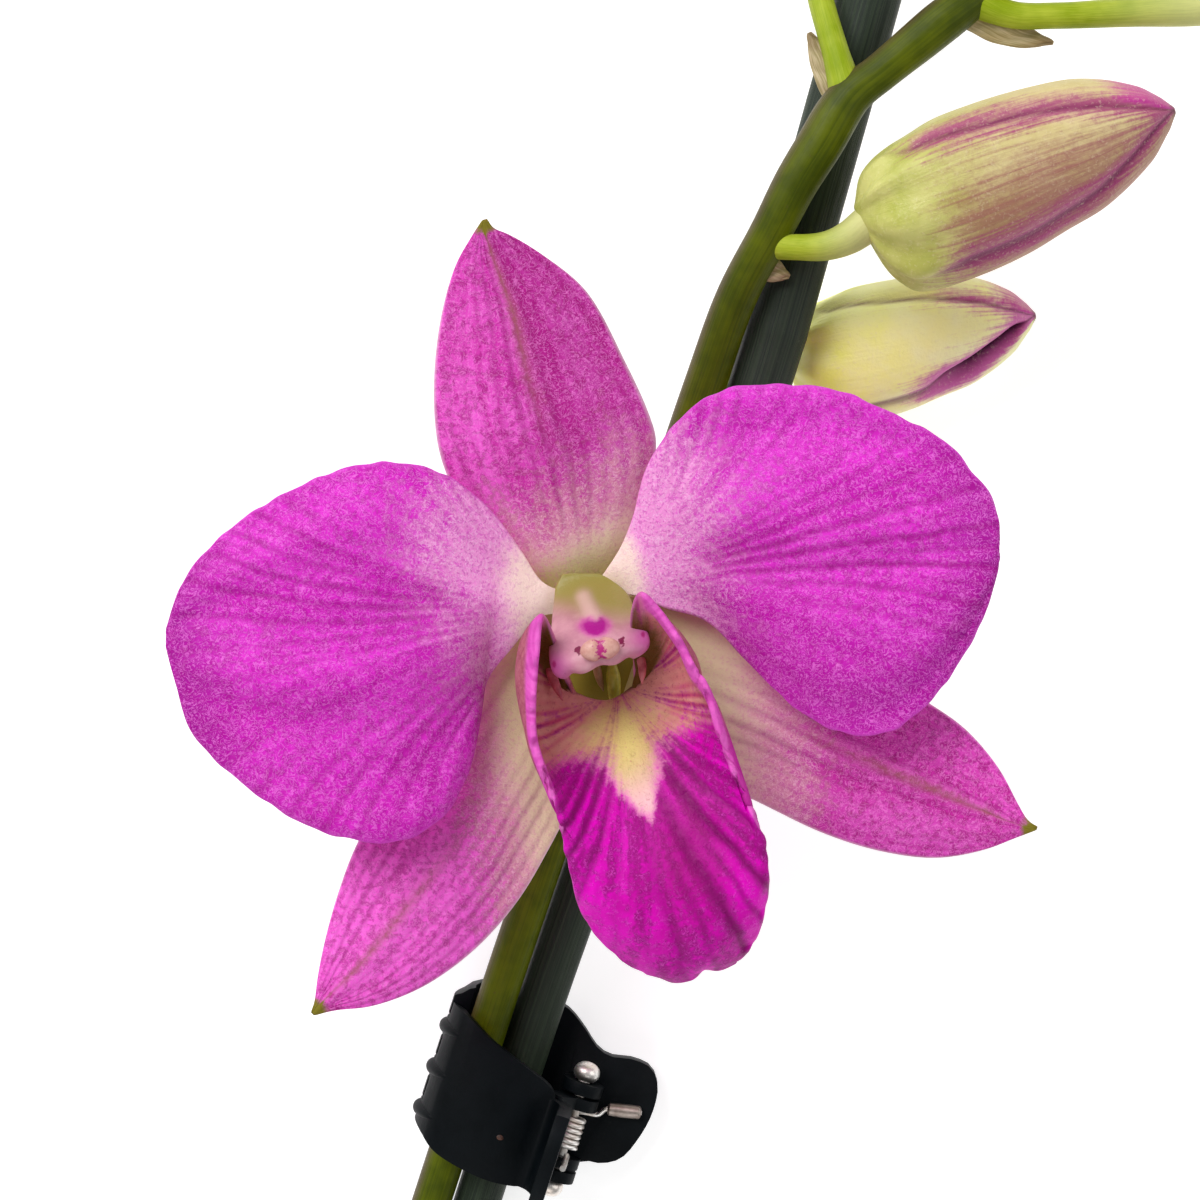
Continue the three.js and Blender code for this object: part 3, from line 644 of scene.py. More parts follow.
def sepal(name):
    own, build = sepals[name], sepalBuild

    def surface(s, t):
        flat = span(own, s, t)
        low, high, until = own["rise"]
        bow = np.sin(math.pi * np.clip(t, 0, 1)) ** 0.7
        depth = between(low, high, smooth(t, 0, until)) + own["hook"] * t**6
        depth -= own["keel"] * bow * np.abs(s) ** 1.3
        depth -= build["groove"] * hump(s, 0.05) * bow
        depth -= build["furrow"] * furrows(s, t, build["pitch"], own["seed"])[0] * bow
        depth += build["ripple"] * np.sin(9 * s + 7 * t + own["seed"]) * bow
        return at(np.column_stack([flat, depth]))

    def marks(s, t):
        middle = hump(s, 0.07)
        turns, strength = furrows(s, t, build["pitch"], own["seed"])[1:]
        shade, inner = own["shade"], own["inner"] * s
        # painted shade on the right half of the dorsal sepal's fold, and painted light on its left half and
        # on the lower sepals, which lie in shade
        shadow = smooth(s, -0.2, 0.6) + hump(s - 0.1, 0.16)
        foot, start = 1 - smooth(t, 0.08, 0.22), 1 - 0.7 * smooth(t, 0.15, 0.42)
        return {
            "turns": turns, "strength": strength * smooth(t, 0.12, 0.35) * own["veins"],
            "gap": np.full_like(s, build["gap"]), "fanAcross": s, "fanAlong": t,
            "toneAndShade": shade * shadow * smooth(t, 0.2, 0.45),
            "light": own["light"] * (1 - smooth(t, 0.85, 1)) + 0.5 * shade * smooth(-s, 0.1, 0.6),
            "olive": between(foot, start, own["olive"]),
            "pale": 1 - smooth(t - 0.12 * inner, *own["pale"]),
            "cream": 1 - smooth(t - 0.1 * inner, *own["cream"]),
            "rim": smooth(np.abs(s), 0.96, 0.99) * smooth(t, 0.1, 0.4),
            "midrib": middle * smooth(t, 0.35, 0.75),
            "tipGreen": smooth(t, 0.935, 0.99) + 0.5 * middle * smooth(t, 0.75, 0.97),
        }

    piece = blade(name, build["across"], build["along"], surface, marks, build["thickness"])
    return finished(piece, sepalSkin, "perianth")


petalSkin = bladePaint("petal")
sepalSkin = bladePaint("sepal")
for name in sepals:
    sepal(name)
for name in petals:
    petal(name)

chin = {
    "halfSize": (3.6, 6, 3.2), "middle": (-0.2, -4, -10), "ribs": 6, "ribHeight": 0.025,
    "throat": (0.9, -6.9), "throatSize": (5, 3.8),
}


def flowerBase():
    piece = ball("flowerBase", 48, 32)
    sphere = corners(piece)
    ribs = np.cos(chin["ribs"] * np.arctan2(sphere[:, 1], sphere[:, 0])) * (1 - sphere[:, 2] ** 2)
    shape = sphere * (1 + chin["ribHeight"] * ribs)[:, None] * chin["halfSize"]
    moveCorners(piece, shape * mm + at(chin["middle"]))
    away = (seen(corners(piece)) - chin["throat"]) / chin["throatSize"]
    mark(piece, "throat", np.exp(-((away**2).sum(1) ** 2)))
    paint = Paint("baseGreen")
    cloud = paint.grain(500, 3, 0.6)
    speck = paint.grain(2600, 2, 0.6)
    colour = paint.over(
        paint.mix(cloud.above(0.3, 0.7), rgb(150, 140, 60), rgb(176, 158, 92)),
        (speck.above(0.5, 0.75) * 0.3, rgb(190, 172, 116)),
        (paint.mark("throat"), rgb(112, 96, 22)),
    )
    skin = paint.done(colour, 0.6, paint.bump(cloud + speck * 0.4, 0.1), Specular_IOR_Level=0.12)
    return finished(piece, skin, "perianth")


flowerBase()
print("sepals and petals")


# each row runs from the lip's left margin to its right one; the rows run from the throat to the lip's end
lipRows = [
    [
        (-2.2, -8.3, -5), (-1.5, -8.8, -5.4), (-0.8, -9.2, -5.6), (0.2, -9.3, -5.7), (1.3, -9.2, -5.6),
        (2.3, -8.7, -5.4), (3.1, -8.1, -5),
    ],
    [
        (-4.8, -1.2, 3.6), (-6, -3.3, 0), (-5, -6.3, -3), (0.5, -8.7, -5), (4.6, -6, -3),
        (5.8, -2.9, 0), (2.7, 0.3, 3.6),
    ],
    [
        (-5.2, -4.6, 4.6), (-6.7, -5.7, 1), (-5.5, -8.5, -2.6), (0.8, -9.4, -4.4), (5.5, -7.5, -2.6),
        (7.6, -4.7, 1), (5.7, -3.4, 4.4),
    ],
    [
        (-5.5, -8.3, 5), (-6.3, -8.8, 2), (-5.2, -11.4, -1.5), (1.2, -11.2, -2.6), (6.8, -9.7, -1.5),
        (8.5, -7.5, 1.8), (7.2, -6, 4.8),
    ],
    [
        (-5.5, -11.5, 5.2), (-5.5, -12.6, 3), (-3.7, -14, 0), (1.8, -14, -0.2), (7.8, -12.2, 0),
        (9.6, -9.5, 2.8), (8.7, -7.5, 5),
    ],
    [
        (-4.6, -14.6, 5.2), (-4.1, -15.8, 4.2), (-1.7, -17.2, 2.4), (2.8, -17.7, 2), (8.8, -15.8, 2.4),
        (11.3, -14.2, 4), (10.2, -12.1, 5),
    ],
    [
        (-3.5, -17.9, 4.8), (-2.3, -19.7, 4.4), (0.3, -20.8, 3.6), (3.8, -21, 3.4), (9.8, -19.8, 3.6),
        (12.5, -18.3, 4.2), (12, -16.1, 4.8),
    ],
    [
        (-2.8, -21.3, 4.2), (-1, -23.3, 4.4), (1.8, -24.3, 4.4), (4.8, -24.3, 4.2), (10.3, -23.7, 4.4),
        (13.2, -22.2, 4.2), (13.8, -20.4, 4.2),
    ],
    [
        (-1.4, -26.2, 2.6), (0.8, -27, 3.6), (3.3, -27.7, 4), (5.8, -27.8, 4), (9.3, -27.3, 4),
        (12.2, -26.3, 3.4), (13.9, -24.8, 2.6),
    ],
    [
        (1.1, -29.2, 0.8), (2.7, -29.8, 1.8), (4.7, -30.3, 2.4), (6.7, -30.2, 2.6), (8.7, -30, 2.4),
        (10.7, -29.3, 1.8), (12.7, -28.7, 0.8),
    ],
    [
        (4, -31.1, -0.4), (5.2, -31.4, 0.2), (6.3, -31.8, 0.6), (7.7, -31.6, 0.8), (8.6, -30.7, 0.8),
        (9.8, -30.8, 0.4), (11.2, -30.2, -0.4),
    ],
]
lipBuild = {
    "across": 64, "along": 110, "thickness": 0.75, "frill": 0.32, "frillTurns": 70, "furrow": 0.384,
    "pitch": 0.19, "seed": 2.6, "reach": 24.6, "fanBase": (1.6, -7), "fanTip": (7, -31),
    "flare": 0.75, "flareWay": (0.8, 0.5, -0.4),
    "patchTop": (1, -8.2), "patchEnd": (4.2, -18.3), "glow": (1.9, -12), "glowSize": (2.1, 3.4),
    "patchWidths": [(-0.4, 4.8), (0, 4.8), (0.3, 4.3), (0.55, 3.2), (0.8, 1.5), (1, 0.45), (1.2, 0.15)],
    "core": (7.4, -21), "coreSize": (3.4, 5),
}


def lipSurface(s, t):
    rows = [at(row) for row in lipRows]
    lengths, places = np.unique(np.round(s, 6), return_inverse=True)
    spots = np.empty((len(s), 3))
    for index, share in enumerate(lengths):
        own = places == index
        ladder = [through(row, np.array([(share + 1) / 2]))[0] for row in rows]
        spots[own] = through(ladder, t[own])
    edge = smooth(t, 0.05, 0.2) * np.abs(s) ** 6
    wave = np.sin(lipBuild["frillTurns"] * t) + 0.5 * np.sin(2.3 * lipBuild["frillTurns"] * t)
    spots[:, 2] += lipBuild["frill"] * edge * wave * mm
    flare = smooth(s, 0.84, 1) * smooth(t, 0.05, 0.1) * (1 - smooth(t, 0.3, 0.45)) * lipBuild["flare"]
    spots += flare[:, None] * np.array(lipBuild["flareWay"]) * mm
    u, v = fanned(seen(spots), lipBuild["fanBase"], lipBuild["fanTip"])
    depth = furrows(u, v, lipBuild["pitch"], lipBuild["seed"])[0] * smooth(t, 0.35, 0.6)
    spots[:, 2] -= lipBuild["furrow"] * depth * mm
    return spots


def lipMarks(s, t):
    flat = seen(lipSurface(s, t))
    x, y = flat.T
    u, v = fanned(flat, lipBuild["fanBase"], lipBuild["fanTip"])
    top, end = np.array(lipBuild["patchTop"]), np.array(lipBuild["patchEnd"])
    reach = end - top
    share = (flat - top) @ reach / (reach @ reach)
    off = np.abs((flat - top) @ np.array((reach[1], -reach[0])) / np.linalg.norm(reach))
    width = profile(lipBuild["patchWidths"])(np.clip(share, -0.4, 1.2))
    return {
        **veinMarks(u, v, lipBuild, lipBuild["seed"], lipBuild["reach"]), "fanAcross": u, "fanAlong": v,
        "patch": hump(off, width) * smooth(share, -0.2, 0.3) * smooth(1.15 - share, 0, 0.3),
        "patchAlong": np.clip(share, 0, 1),
        "glow": near(flat, lipBuild["glow"], lipBuild["glowSize"]),
        "inner": 1 - smooth(0.25 * (x + 4) - y - 1.2 * hump(x - 2.5, 3.2), 11.5, 16.5),
        "roll": smooth(np.abs(s), 0.86, 0.9) * (1 - smooth(t, 0.45, 0.6)) * smooth(t, 0.07, 0.12),
        "core": near(flat, lipBuild["core"], lipBuild["coreSize"]),
        "rim": smooth(np.abs(s), 0.97, 1),
        "throat": 1 - smooth(t, 0.03, 0.16),
    }


def lipSkin():
    paint = Paint("lipSkin")
    u, v = paint.mark("fanAcross"), paint.mark("fanAlong")
    cells = paint.grain(1500, 3, 0.7, 0.4)
    cloud = paint.grain(260, 3, 0.6)
    grain = paint.grain(3400, 2, 0.6)
    curls = paint.grain(2100, 1, 0.5, 1.8)
    broad = paint.noise(paint.vector(u * 6, v * 1.8, 2.0), 1, 3, 0.6, 0.8)
    wobble = paint.grain(420, 3, 0.6)
    veins = paint.veins(0.85, wobble)
    # painted glints: the sparkle of the lip's cells as small bright flecks
    glintFlecks = (1 - (curls - 0.5).size() * 10).clamped() * cells.above(0.45, 0.66)
    glintFlecks = glintFlecks + grain.above(0.62, 0.7) * 0.6
    behind, inner, along = paint.mark("behind"), paint.mark("inner"), paint.mark("patchAlong")

    magenta = paint.over(
        paint.mix(cloud.above(0.3, 0.7), rgb(202, 0, 164), rgb(234, 0, 198)),
        ((broad * 0.6 + cells * 0.4).above(0.44, 0.56) * 0.85, rgb(148, 0, 116)),
        (glintFlecks * 0.65, rgb(244, 76, 218)),
        (paint.mark("core") * 0.75, rgb(150, 0, 106)),
        (veins * 0.95, rgb(126, 0, 96)),
    )
    tawny = paint.over(
        paint.mix(cloud.above(0.3, 0.7), rgb(200, 126, 122), rgb(220, 154, 144)),
        (grain.above(0.6, 0.68) * 0.35, rgb(150, 20, 90)),
        (((1 - inner) * 1.4 + (cells - 0.5) * 1.6).above(0.4, 0.9), rgb(216, 84, 168)),
        (paint.veins(0.42, wobble) * v.above(0.1, 0.24) * 0.8, rgb(190, 24, 108)),
    )
    cream = paint.over(
        paint.mix(along.above(0.4, 0.9), rgb(206, 176, 124), rgb(246, 190, 200)),
        (paint.mark("glow") * 0.85, rgb(232, 218, 130)),
        (grain.above(0.6, 0.7) * 0.3, rgb(214, 120, 140)),
        (veins * 0.3, rgb(196, 120, 110)),
    )
    outside = paint.over(
        paint.mix(cells.above(0.35, 0.65), rgb(186, 112, 122), rgb(166, 86, 102)),
        ((1 - inner) * 0.9, rgb(190, 20, 156)),
    )
    lines = paint.noise(paint.vector(v * 46 + u * 6, 0, 5.0), 1, 1, 0.5)
    roll = paint.mix(lines.above(0.42, 0.6) * 0.5, rgb(226, 98, 194), rgb(200, 56, 164))
    ragged = (cells - 0.5) * 1.1 + (broad - 0.5) * 1.2 - veins * 0.35
    fringe = paint.mark("patch") * 1.25 + ragged * 0.8 - 0.05
    colour = paint.over(
        paint.mix((inner + ragged).above(0.25, 0.85), magenta, tawny),
        (fringe.above(0.1, 0.5) * along.above(0.3, 0.6) * 0.7, rgb(236, 120, 196)),
        (fringe.above(0.2, 1.0), cream),
        ((paint.mark("throat") + ragged * 0.2).above(0.3, 0.8), rgb(96, 66, 22)),
        (behind.above(0.3, 0.7), outside),
        (paint.mark("roll"), roll),
        (paint.mark("rim") * (0.9 - paint.mark("roll")) * 0.5, rgb(240, 140, 216)),
    )
    relief = grain * 0.4 + cells * 0.6 + glintFlecks * 0.3 - veins * 0.5
    rough = 0.48 + (cells - 0.5) * 0.25
    return paint.flesh(colour, rough, paint.bump(relief, 0.1), 0.14, (0.001, 0.0005, 0.0008), 0.04)


lip = blade(
    "lipBlade", lipBuild["across"], lipBuild["along"], lipSurface, lipMarks, lipBuild["thickness"], rim=0.6,
    faceDown=True,
)
finished(lip, lipSkin(), "lip")

throat = {
    "greenKeel": {
        "line": [(1, -5.2, -6), (1.1, -6.6, -6.1), (1.2, -8, -6.5), (1.2, -9.2, -7)],
        "width": 0.62, "height": 0.45, "colours": (rgb(150, 144, 30), rgb(182, 170, 56)),
    },
    "brownKeel": {
        "line": [(-0.4, -5, -5.9), (-0.1, -6.4, -6), (0.3, -7.6, -6.3)],
        "width": 0.36, "height": 0.35, "colours": (rgb(122, 84, 44), rgb(150, 104, 66)),
    },
    "leftSpur": {
        "line": [(-4.4, -5.2, -2.6), (-3.8, -6.8, -2.4), (-3.1, -8.4, -2.1)],
        "width": 0.42, "height": 0.3, "colours": (rgb(164, 66, 84), rgb(196, 96, 110)),
    },
    "rightSpur": {
        "line": [(3.2, -4.2, -1.8), (3.5, -5.4, -1.6), (3.5, -7, -1.2)],
        "width": 0.38, "height": 0.3, "colours": (rgb(176, 80, 92), rgb(208, 118, 124)),
    },
}
throatSwell = profile([(0, 0.5), (0.3, 1), (0.7, 0.8), (1, 0.12)])


def throatPiece(name):
    own = throat[name]

    def section(t, angle):
        return np.sin(angle) * own["width"] * throatSwell(t), np.cos(angle) * own["height"] * throatSwell(t)

    piece = tube(name, at(own["line"]), section, around=16, along=20)
    paint = Paint(name + "Skin")
    cloud = paint.grain(1200, 3, 0.6)
    colour = paint.mix(cloud.above(0.35, 0.65), *own["colours"])
    return finished(piece, paint.done(colour, 0.4, paint.bump(cloud, 0.05)), "lip")


for name in throat:
    throatPiece(name)
print("lip")


columnBuild = {
    "left": [(-3.1, 2.2), (-3.6, 1), (-3.7, -0.4), (-3.9, -2.4), (-4.1, -4.8), (-3.7, -6), (-2.8, -6.2)],
    "right": [(0, 2.2), (1.1, 1.3), (2.2, 0.3), (2.9, -1.1), (3.8, -2.6), (4, -3.7), (2.7, -4.5)],
    "thickness": 0.9, "across": 60, "along": 60, "ridge": ((-1.3, 0), (-0.5, -1.7)), "ridgeWidth": 0.52,
    "blotch": (-0.35, -2.65),
    "stars": [(-1.75, -4.5), (1.72, -3.7)], "starSize": (0.4, 0.45),
    "dots": [(-3.55, -5.4), (3.45, -3.2)], "dotSize": (0.22, 0.3),
    "wings": [((-3.6, -5.6), (1.2, 1.1)), ((3.7, -3.2), (1.3, 1.2))], "foot": -6.4, "edge": 3.1,
    "arch": 1.7, "ridgeHeight": 0.6, "edgeDrop": 0.9, "scallop": 0.2,
}


def columnRidge(flat):
    # how near to the narrow ridge that runs down to the blotch
    top, foot = (np.array(end) for end in columnBuild["ridge"])
    reach = foot - top
    share = np.clip((flat - top) @ reach / (reach @ reach), 0, 1)
    away = np.linalg.norm(flat - top - share[:, None] * reach, axis=1)
    return hump(away, columnBuild["ridgeWidth"])


def columnSurface(s, t):
    flat = span(columnBuild, s, t)
    flat[:, 1] += columnBuild["scallop"] * np.cos(9 * s) * smooth(t, 0.8, 1)
    depth = between(columnBuild["foot"], columnBuild["edge"], smooth(t, 0, 0.95))
    depth -= columnBuild["arch"] * s * s * smooth(t, 0, 0.5)
    depth += columnBuild["ridgeHeight"] * columnRidge(flat)
    depth -= columnBuild["edgeDrop"] * smooth(t, 0.78, 1) * (1 - 0.5 * s * s)
    return at(np.column_stack([flat, depth]))


def columnMarks(s, t):
    flat = seen(columnSurface(s, t))
    x, y = columnBuild["blotch"]
    wide = near(flat, (x, y + 0.15), (1.25, 0.8))
    point = near(flat, (x, y - 0.1), 0.5)
    notch = near(flat, (x, y + 0.6), (0.2, 0.45))
    return {
        "blotch": wide + 0.6 * point - 0.35 * notch,
        "stars": sum(near(flat, place, columnBuild["starSize"]) for place in columnBuild["stars"]),
        "dots": sum(near(flat, place, columnBuild["dotSize"]) for place in columnBuild["dots"]),
        "ridge": columnRidge(flat), "top": 1 - smooth(-flat[:, 1] - 0.25 * flat[:, 0], 0.2, 3.2),
        "wing": np.maximum(*(near(flat, *wing) for wing in columnBuild["wings"])),
    }


def columnSkin():
    paint = Paint("columnSkin")
    cloud = paint.grain(700, 3, 0.6)
    cells = paint.grain(2600, 3, 0.7)
    jag = paint.grain(1500, 2, 0.6)
    fan = paint.mark("blotch") * (0.65 + jag * 0.7)
    colour = paint.over(
        paint.mix(cloud.above(0.3, 0.7), rgb(190, 128, 146), rgb(206, 152, 162)),
        (paint.mark("top"), rgb(150, 138, 66)),
        (paint.mark("wing") * 0.9, rgb(206, 92, 176)),
        (paint.mark("ridge") * 0.6, rgb(230, 190, 186)),
        (fan.above(0.1, 0.5) * 0.6, rgb(206, 60, 170)),
        (fan.above(0.3, 0.8), rgb(166, 0, 132)),
        ((paint.mark("stars") + (jag - 0.5) * 2.4).above(0.6, 0.8), rgb(118, 6, 62)),
        (paint.mark("dots").above(0.35, 0.8) * 0.8, rgb(170, 20, 110)),
    )
    return paint.flesh(colour, 0.38, paint.bump(cells, 0.04), 0.4, (0.001, 0.0006, 0.0007), 0.06)


column = blade(
    "columnHood", columnBuild["across"], columnBuild["along"], columnSurface, columnMarks,
    columnBuild["thickness"], rim=0.8,
)
finished(column, columnSkin(), "column")


cap = {
    "middle": (0, -4.1, 3.3), "halfSize": (1.65, 1, 0.65), "lean": math.radians(9),
    "cleft": 0.3, "cleftWidth": 0.2, "stainWidth": 0.34,
}


def antherCap():
    # two flat rounded lobes under the hood's edge
    piece = ball("antherCap", 64, 40)
    sphere = corners(piece)
    lobes = 1 - cap["cleft"] * hump(sphere[:, 0], cap["cleftWidth"]) * np.abs(sphere[:, 1:]).max(1)
    mark(piece, "stain", hump(sphere[:, 0], cap["stainWidth"]) * smooth(sphere[:, 2], -0.1, 0.4))
    shape = sphere * lobes[:, None] * cap["halfSize"]
    moveCorners(piece, at(cap["middle"]) + rolled(shape, cap["lean"]) * mm)
    paint = Paint("capSkin")
    cells = paint.grain(2200, 3, 0.7)
    colour = paint.over(
        paint.mix(cells.above(0.3, 0.7), rgb(200, 144, 134), rgb(214, 164, 150)),
        ((paint.mark("stain") + (cells - 0.5) * 2.2).above(0.55, 0.8), rgb(176, 24, 116)),
    )
    return finished(piece, paint.done(colour, 0.4, paint.bump(cells, 0.05)), "column")


antherCap()
print("column")


# how far the bud stands out behind, in front and to its sides, in shares of its length
budShape = {
    "back": [
        (0, 0.03), (0.05, 0.107), (0.1, 0.143), (0.16, 0.17), (0.29, 0.203), (0.4, 0.21), (0.5, 0.21),
        (0.62, 0.203), (0.73, 0.188), (0.83, 0.152), (0.92, 0.1), (0.97, 0.05), (1, 0.01),
    ],
    "chin": [
        (0, 0.03), (0.03, 0.15), (0.05, 0.2), (0.1, 0.262), (0.16, 0.283), (0.24, 0.292), (0.35, 0.288),
        (0.47, 0.272), (0.59, 0.243), (0.71, 0.216), (0.81, 0.172), (0.9, 0.118), (0.97, 0.05), (1, 0.01),
    ],
    "side": [
        (0, 0.03), (0.05, 0.14), (0.1, 0.19), (0.16, 0.21), (0.3, 0.235), (0.45, 0.235), (0.6, 0.215),
        (0.73, 0.185), (0.83, 0.15), (0.92, 0.1), (0.97, 0.05), (1, 0.01),
    ],
}
# each bud also says how much painted shade, with its own brown-pink tone, it takes
buds = [
    {
        "base": (21.4, 32, -12), "tip": (47.9, 40.8, -10), "plump": 1, "bow": 0,
        "blush": 1, "toneAndShade": 1, "open": 0,
    },
    {
        "base": (15.4, 20.4, -27.8), "tip": (36.3, 23.7, -26), "plump": 1.08, "bow": 0.4,
        "blush": 0.85, "toneAndShade": 0, "open": 1,
    },
    {
        "base": (16.4, 58.8, -25.7), "tip": (11.8, 78.8, -28.4), "plump": 1, "bow": 0.3,
        "blush": 0.7, "toneAndShade": 0.7, "open": 0,
    },
    {
        "base": (53.3, 49.8, -13), "tip": (68.3, 53, -13), "plump": 0.92, "bow": 0,
        "blush": 0.5, "toneAndShade": 0.4, "open": 0,
    },
]
# where the three seams run, in degrees from the side that faces up, from base to tip
seams = {
    "upper": [(0, -85), (0.05, -75), (0.2, -46), (0.37, -38), (0.6, -32), (0.8, -22), (0.92, -12), (1, 0)],
    "lower": [
        (0, 88), (0.05, 80), (0.16, 68), (0.3, 61), (0.47, 62), (0.65, 58), (0.83, 42), (0.95, 22), (1, 5),
    ],
    "under": [(0, 180), (1, 180)],
}
blushWidths = {"upper": 21, "lower": 21, "under": 18}  # degrees to either side of each seam
# painted shade in the creases along the seams: how wide, in degrees, and how dark
creaseShadeWidths = {"upper": 3.4, "lower": 4.4, "under": 3.2}
creaseShadeStrengths = {"upper": 1, "lower": 1.3, "under": 1}
budBuild = {
    "around": 72, "along": 64, "seamDepth": 0.03, "seamWidth": 9, "slitDepth": 0.075, "pleats": 9,
    "pleatDepth": 0.016, "floorGap": 0.02,
}


def turned(angle, middle):
    return (angle - middle + 180) % 360 - 180


def budPiece(index):
    own, build = buds[index], budBuild
    start, end = at(own["base"]), at(own["tip"])
    middle = (start + end) / 2 + np.array((0, 0, own["bow"] * mm))
    length = np.linalg.norm(end - start) / mm * own["plump"]
    back, chinSide, side = (profile(budShape[key]) for key in ("back", "chin", "side"))
    lines = {key: profile(pairs) for key, pairs in seams.items()}

    def seamOffsets(t, angle):
        return {key: turned(np.degrees(angle), line(t)) for key, line in lines.items()}

    def alongSlit(t, low, high):
        return smooth(t, low, high) * (1 - smooth(t, 0.88, 0.96)) * own["open"]

    def section(t, angle):
        off = seamOffsets(t, angle)
        relief = np.zeros_like(t)
        for key in seams:
            lap = 0.35 * smooth(off[key], -4, 4) * hump(off[key], 40) * (1 if key == "upper" else -1)
            fold = hump(off[key], build["seamWidth"]) * 0.55 - lap * 0.5
            relief -= build["seamDepth"] * fold * smooth(t, 0.02, 0.2) * (1 - smooth(t, 0.9, 1))
        relief -= build["slitDepth"] * hump(off["lower"], 13) * alongSlit(t, 0.5, 0.7)
        pleats = np.cos(np.radians(off["under"]) * build["pleats"])
        relief += build["pleatDepth"] * pleats * smooth(t, 0, 0.04) * (1 - smooth(t, 0.06, 0.3))
        x, z = np.sin(angle), np.cos(angle)
        reach = np.where(x > 0, chinSide(t), back(t))
        return x * (reach + relief) * length, z * (side(t) + relief) * length

    def marks(t, angle):
        off = seamOffsets(t, angle)
        nearSeams = sum(hump(off[key] + (key == "upper"), width) for key, width in blushWidths.items())
        nearSeams *= smooth(t, 0.02, 0.3) * (1 - 0.75 * own["open"] * smooth(0.75 - t, 0, 0.3))
        nearSeams += 1.1 * own["open"] * hump(off["lower"], 26) * smooth(t, 0.35, 0.6)
        # painted shade: darker below the upper seam and on the chin side, mixed with the bud's own brown-pink
        shade = 0.45 * smooth(off["upper"], -10, 12) + 0.55 * smooth(np.sin(angle), -0.2, 0.6)
        creaseShades = sum(creaseShadeStrengths[key] * hump(off[key], width) for key, width in creaseShadeWidths.items())
        return {
            "blush": nearSeams * own["blush"],
            "hood": smooth(-off["upper"], -4, 12) * smooth(t, 0.68, 0.95) * own["blush"],
            # painted shade inside the open bud's slit
            "slitShade": 1.4 * hump(off["lower"], 9) * alongSlit(t, 0.55, 0.72),
            "creaseShade": creaseShades * smooth(t, 0.05, 0.3), "toneAndShade": shade * smooth(t, 0.05, 0.35) * own["toneAndShade"],
        }

    piece = tube(
        "bud%d" % (index + 1), [start, middle, end], section, around=build["around"], along=build["along"],
        marks=marks, ease=True, levels=1,
    )
    # what lies on the surface keeps its small flat spot
    spots = corners(piece)
    spots[:, 2] = np.maximum(spots[:, 2], build["floorGap"] * mm)
    moveCorners(piece, spots)
    return finished(piece, budSkins[own["open"]], "bud_%d" % (index + 1))


budPaintValues = {
    "closed": {
        "green": (rgb(176, 180, 80), rgb(206, 204, 122)), "pale": (rgb(206, 188, 128), rgb(220, 202, 150)),
        "blush": rgb(164, 50, 116),
    },
    # the open bud's colours are also painted brighter, standing in for light where it lies in the first bud's
    # shade
    "open": {
        "green": (rgb(250, 255, 112), rgb(255, 255, 160)), "pale": (rgb(255, 250, 170), rgb(255, 252, 196)),
        "blush": rgb(204, 64, 168),
    },
}


def makeBudSkin(name):
    values = budPaintValues[name]
    paint = Paint(name + "BudSkin")
    t, toneAndShade = paint.mark("along"), paint.mark("toneAndShade")
    streak = paint.streaks(26, 2.4, 4, 0.62, 0.5)
    cells = paint.grain(1500, 3, 0.7, 0.4)
    grain = paint.grain(3600, 2, 0.6)
    cloud = paint.grain(220, 3, 0.6).above(0.3, 0.7)
    ragged = (streak - 0.5) * 1.4 + (cells - 0.5) * 0.7
    streakyShade = toneAndShade * 1.1 + (streak - 0.5) * 1.6 + (cells - 0.5) * 0.8
    green, pale = (paint.mix(cloud, *values[key]) for key in ("green", "pale"))
    colour = paint.over(
        paint.mix(t.above(0.1, 0.6), green, pale),
        # painted shade in brown-pink on the bud's lower side, broken by streaks, with streaks of its own
        # brown-pink there too
        (streakyShade.above(0.25, 1.15) * 0.75, rgb(150, 84, 84)),
        (streak.above(0.5, 0.72) * t.above(0.05, 0.4) * toneAndShade * 0.55, rgb(160, 84, 96)),
        ((paint.mark("blush") + ragged).above(0.25, 1.0) * 0.9, values["blush"]),
        ((paint.mark("hood") + ragged * 0.6).above(0.25, 0.9) * 0.85, rgb(196, 40, 150)),
        # painted shade in the seams' creases
        (paint.mark("creaseShade").clamped() * 0.8, rgb(104, 16, 66)),
        # painted shade inside the slit
        (paint.mark("slitShade").clamped(), rgb(44, 0, 34)),
        (grain.above(0.52, 0.66) * cells.above(0.4, 0.62) * 0.22, rgb(240, 230, 190)),
        (t.above(0.975, 1) * 0.7, rgb(96, 52, 48)),
    )
    relief = grain * 0.5 + cells * 0.6 + streak * 0.8
    rough = 0.45 + (cells - 0.5) * 0.25
    return paint.flesh(colour, rough, paint.bump(relief, 0.1), 0.3, (0.0012, 0.0009, 0.0006))


budSkins = [makeBudSkin("closed"), makeBudSkin("open")]
for index in range(len(buds)):
    budPiece(index)
print("buds")


rachisLine = [
    (-19, -65.8, -26.3), (-14, -50, -26.1), (-11, -40.8, -25.8), (-8.6, -33.3, -24.9), (-2.5, -15.3, -22.8),
    (3.1, 1.2, -21), (8.7, 17.8, -19), (11.4, 25.3, -16.7), (14.3, 30.8, -14.4), (16.3, 34.7, -13.4),
    (18.2, 37.8, -12.8), (20.7, 41.8, -12.3), (23.4, 44, -12.2), (26.2, 46.3, -12.2), (28.9, 48.5, -12.2),
    (32.1, 50.7, -12.2), (35.8, 52.7, -12), (40, 54.3, -11.6),
]
rachisWidth = profile([
    (0, 0.97), (0.55, 1), (0.62, 1.04), (0.74, 1), (0.82, 1.12), (0.86, 0.93), (0.91, 1.05),
    (0.94, 0.85), (1, 0.6),
])
ovaryWidth = profile([(0, 1.1), (0.4, 1.1), (0.7, 1.45), (1, 1.7)])
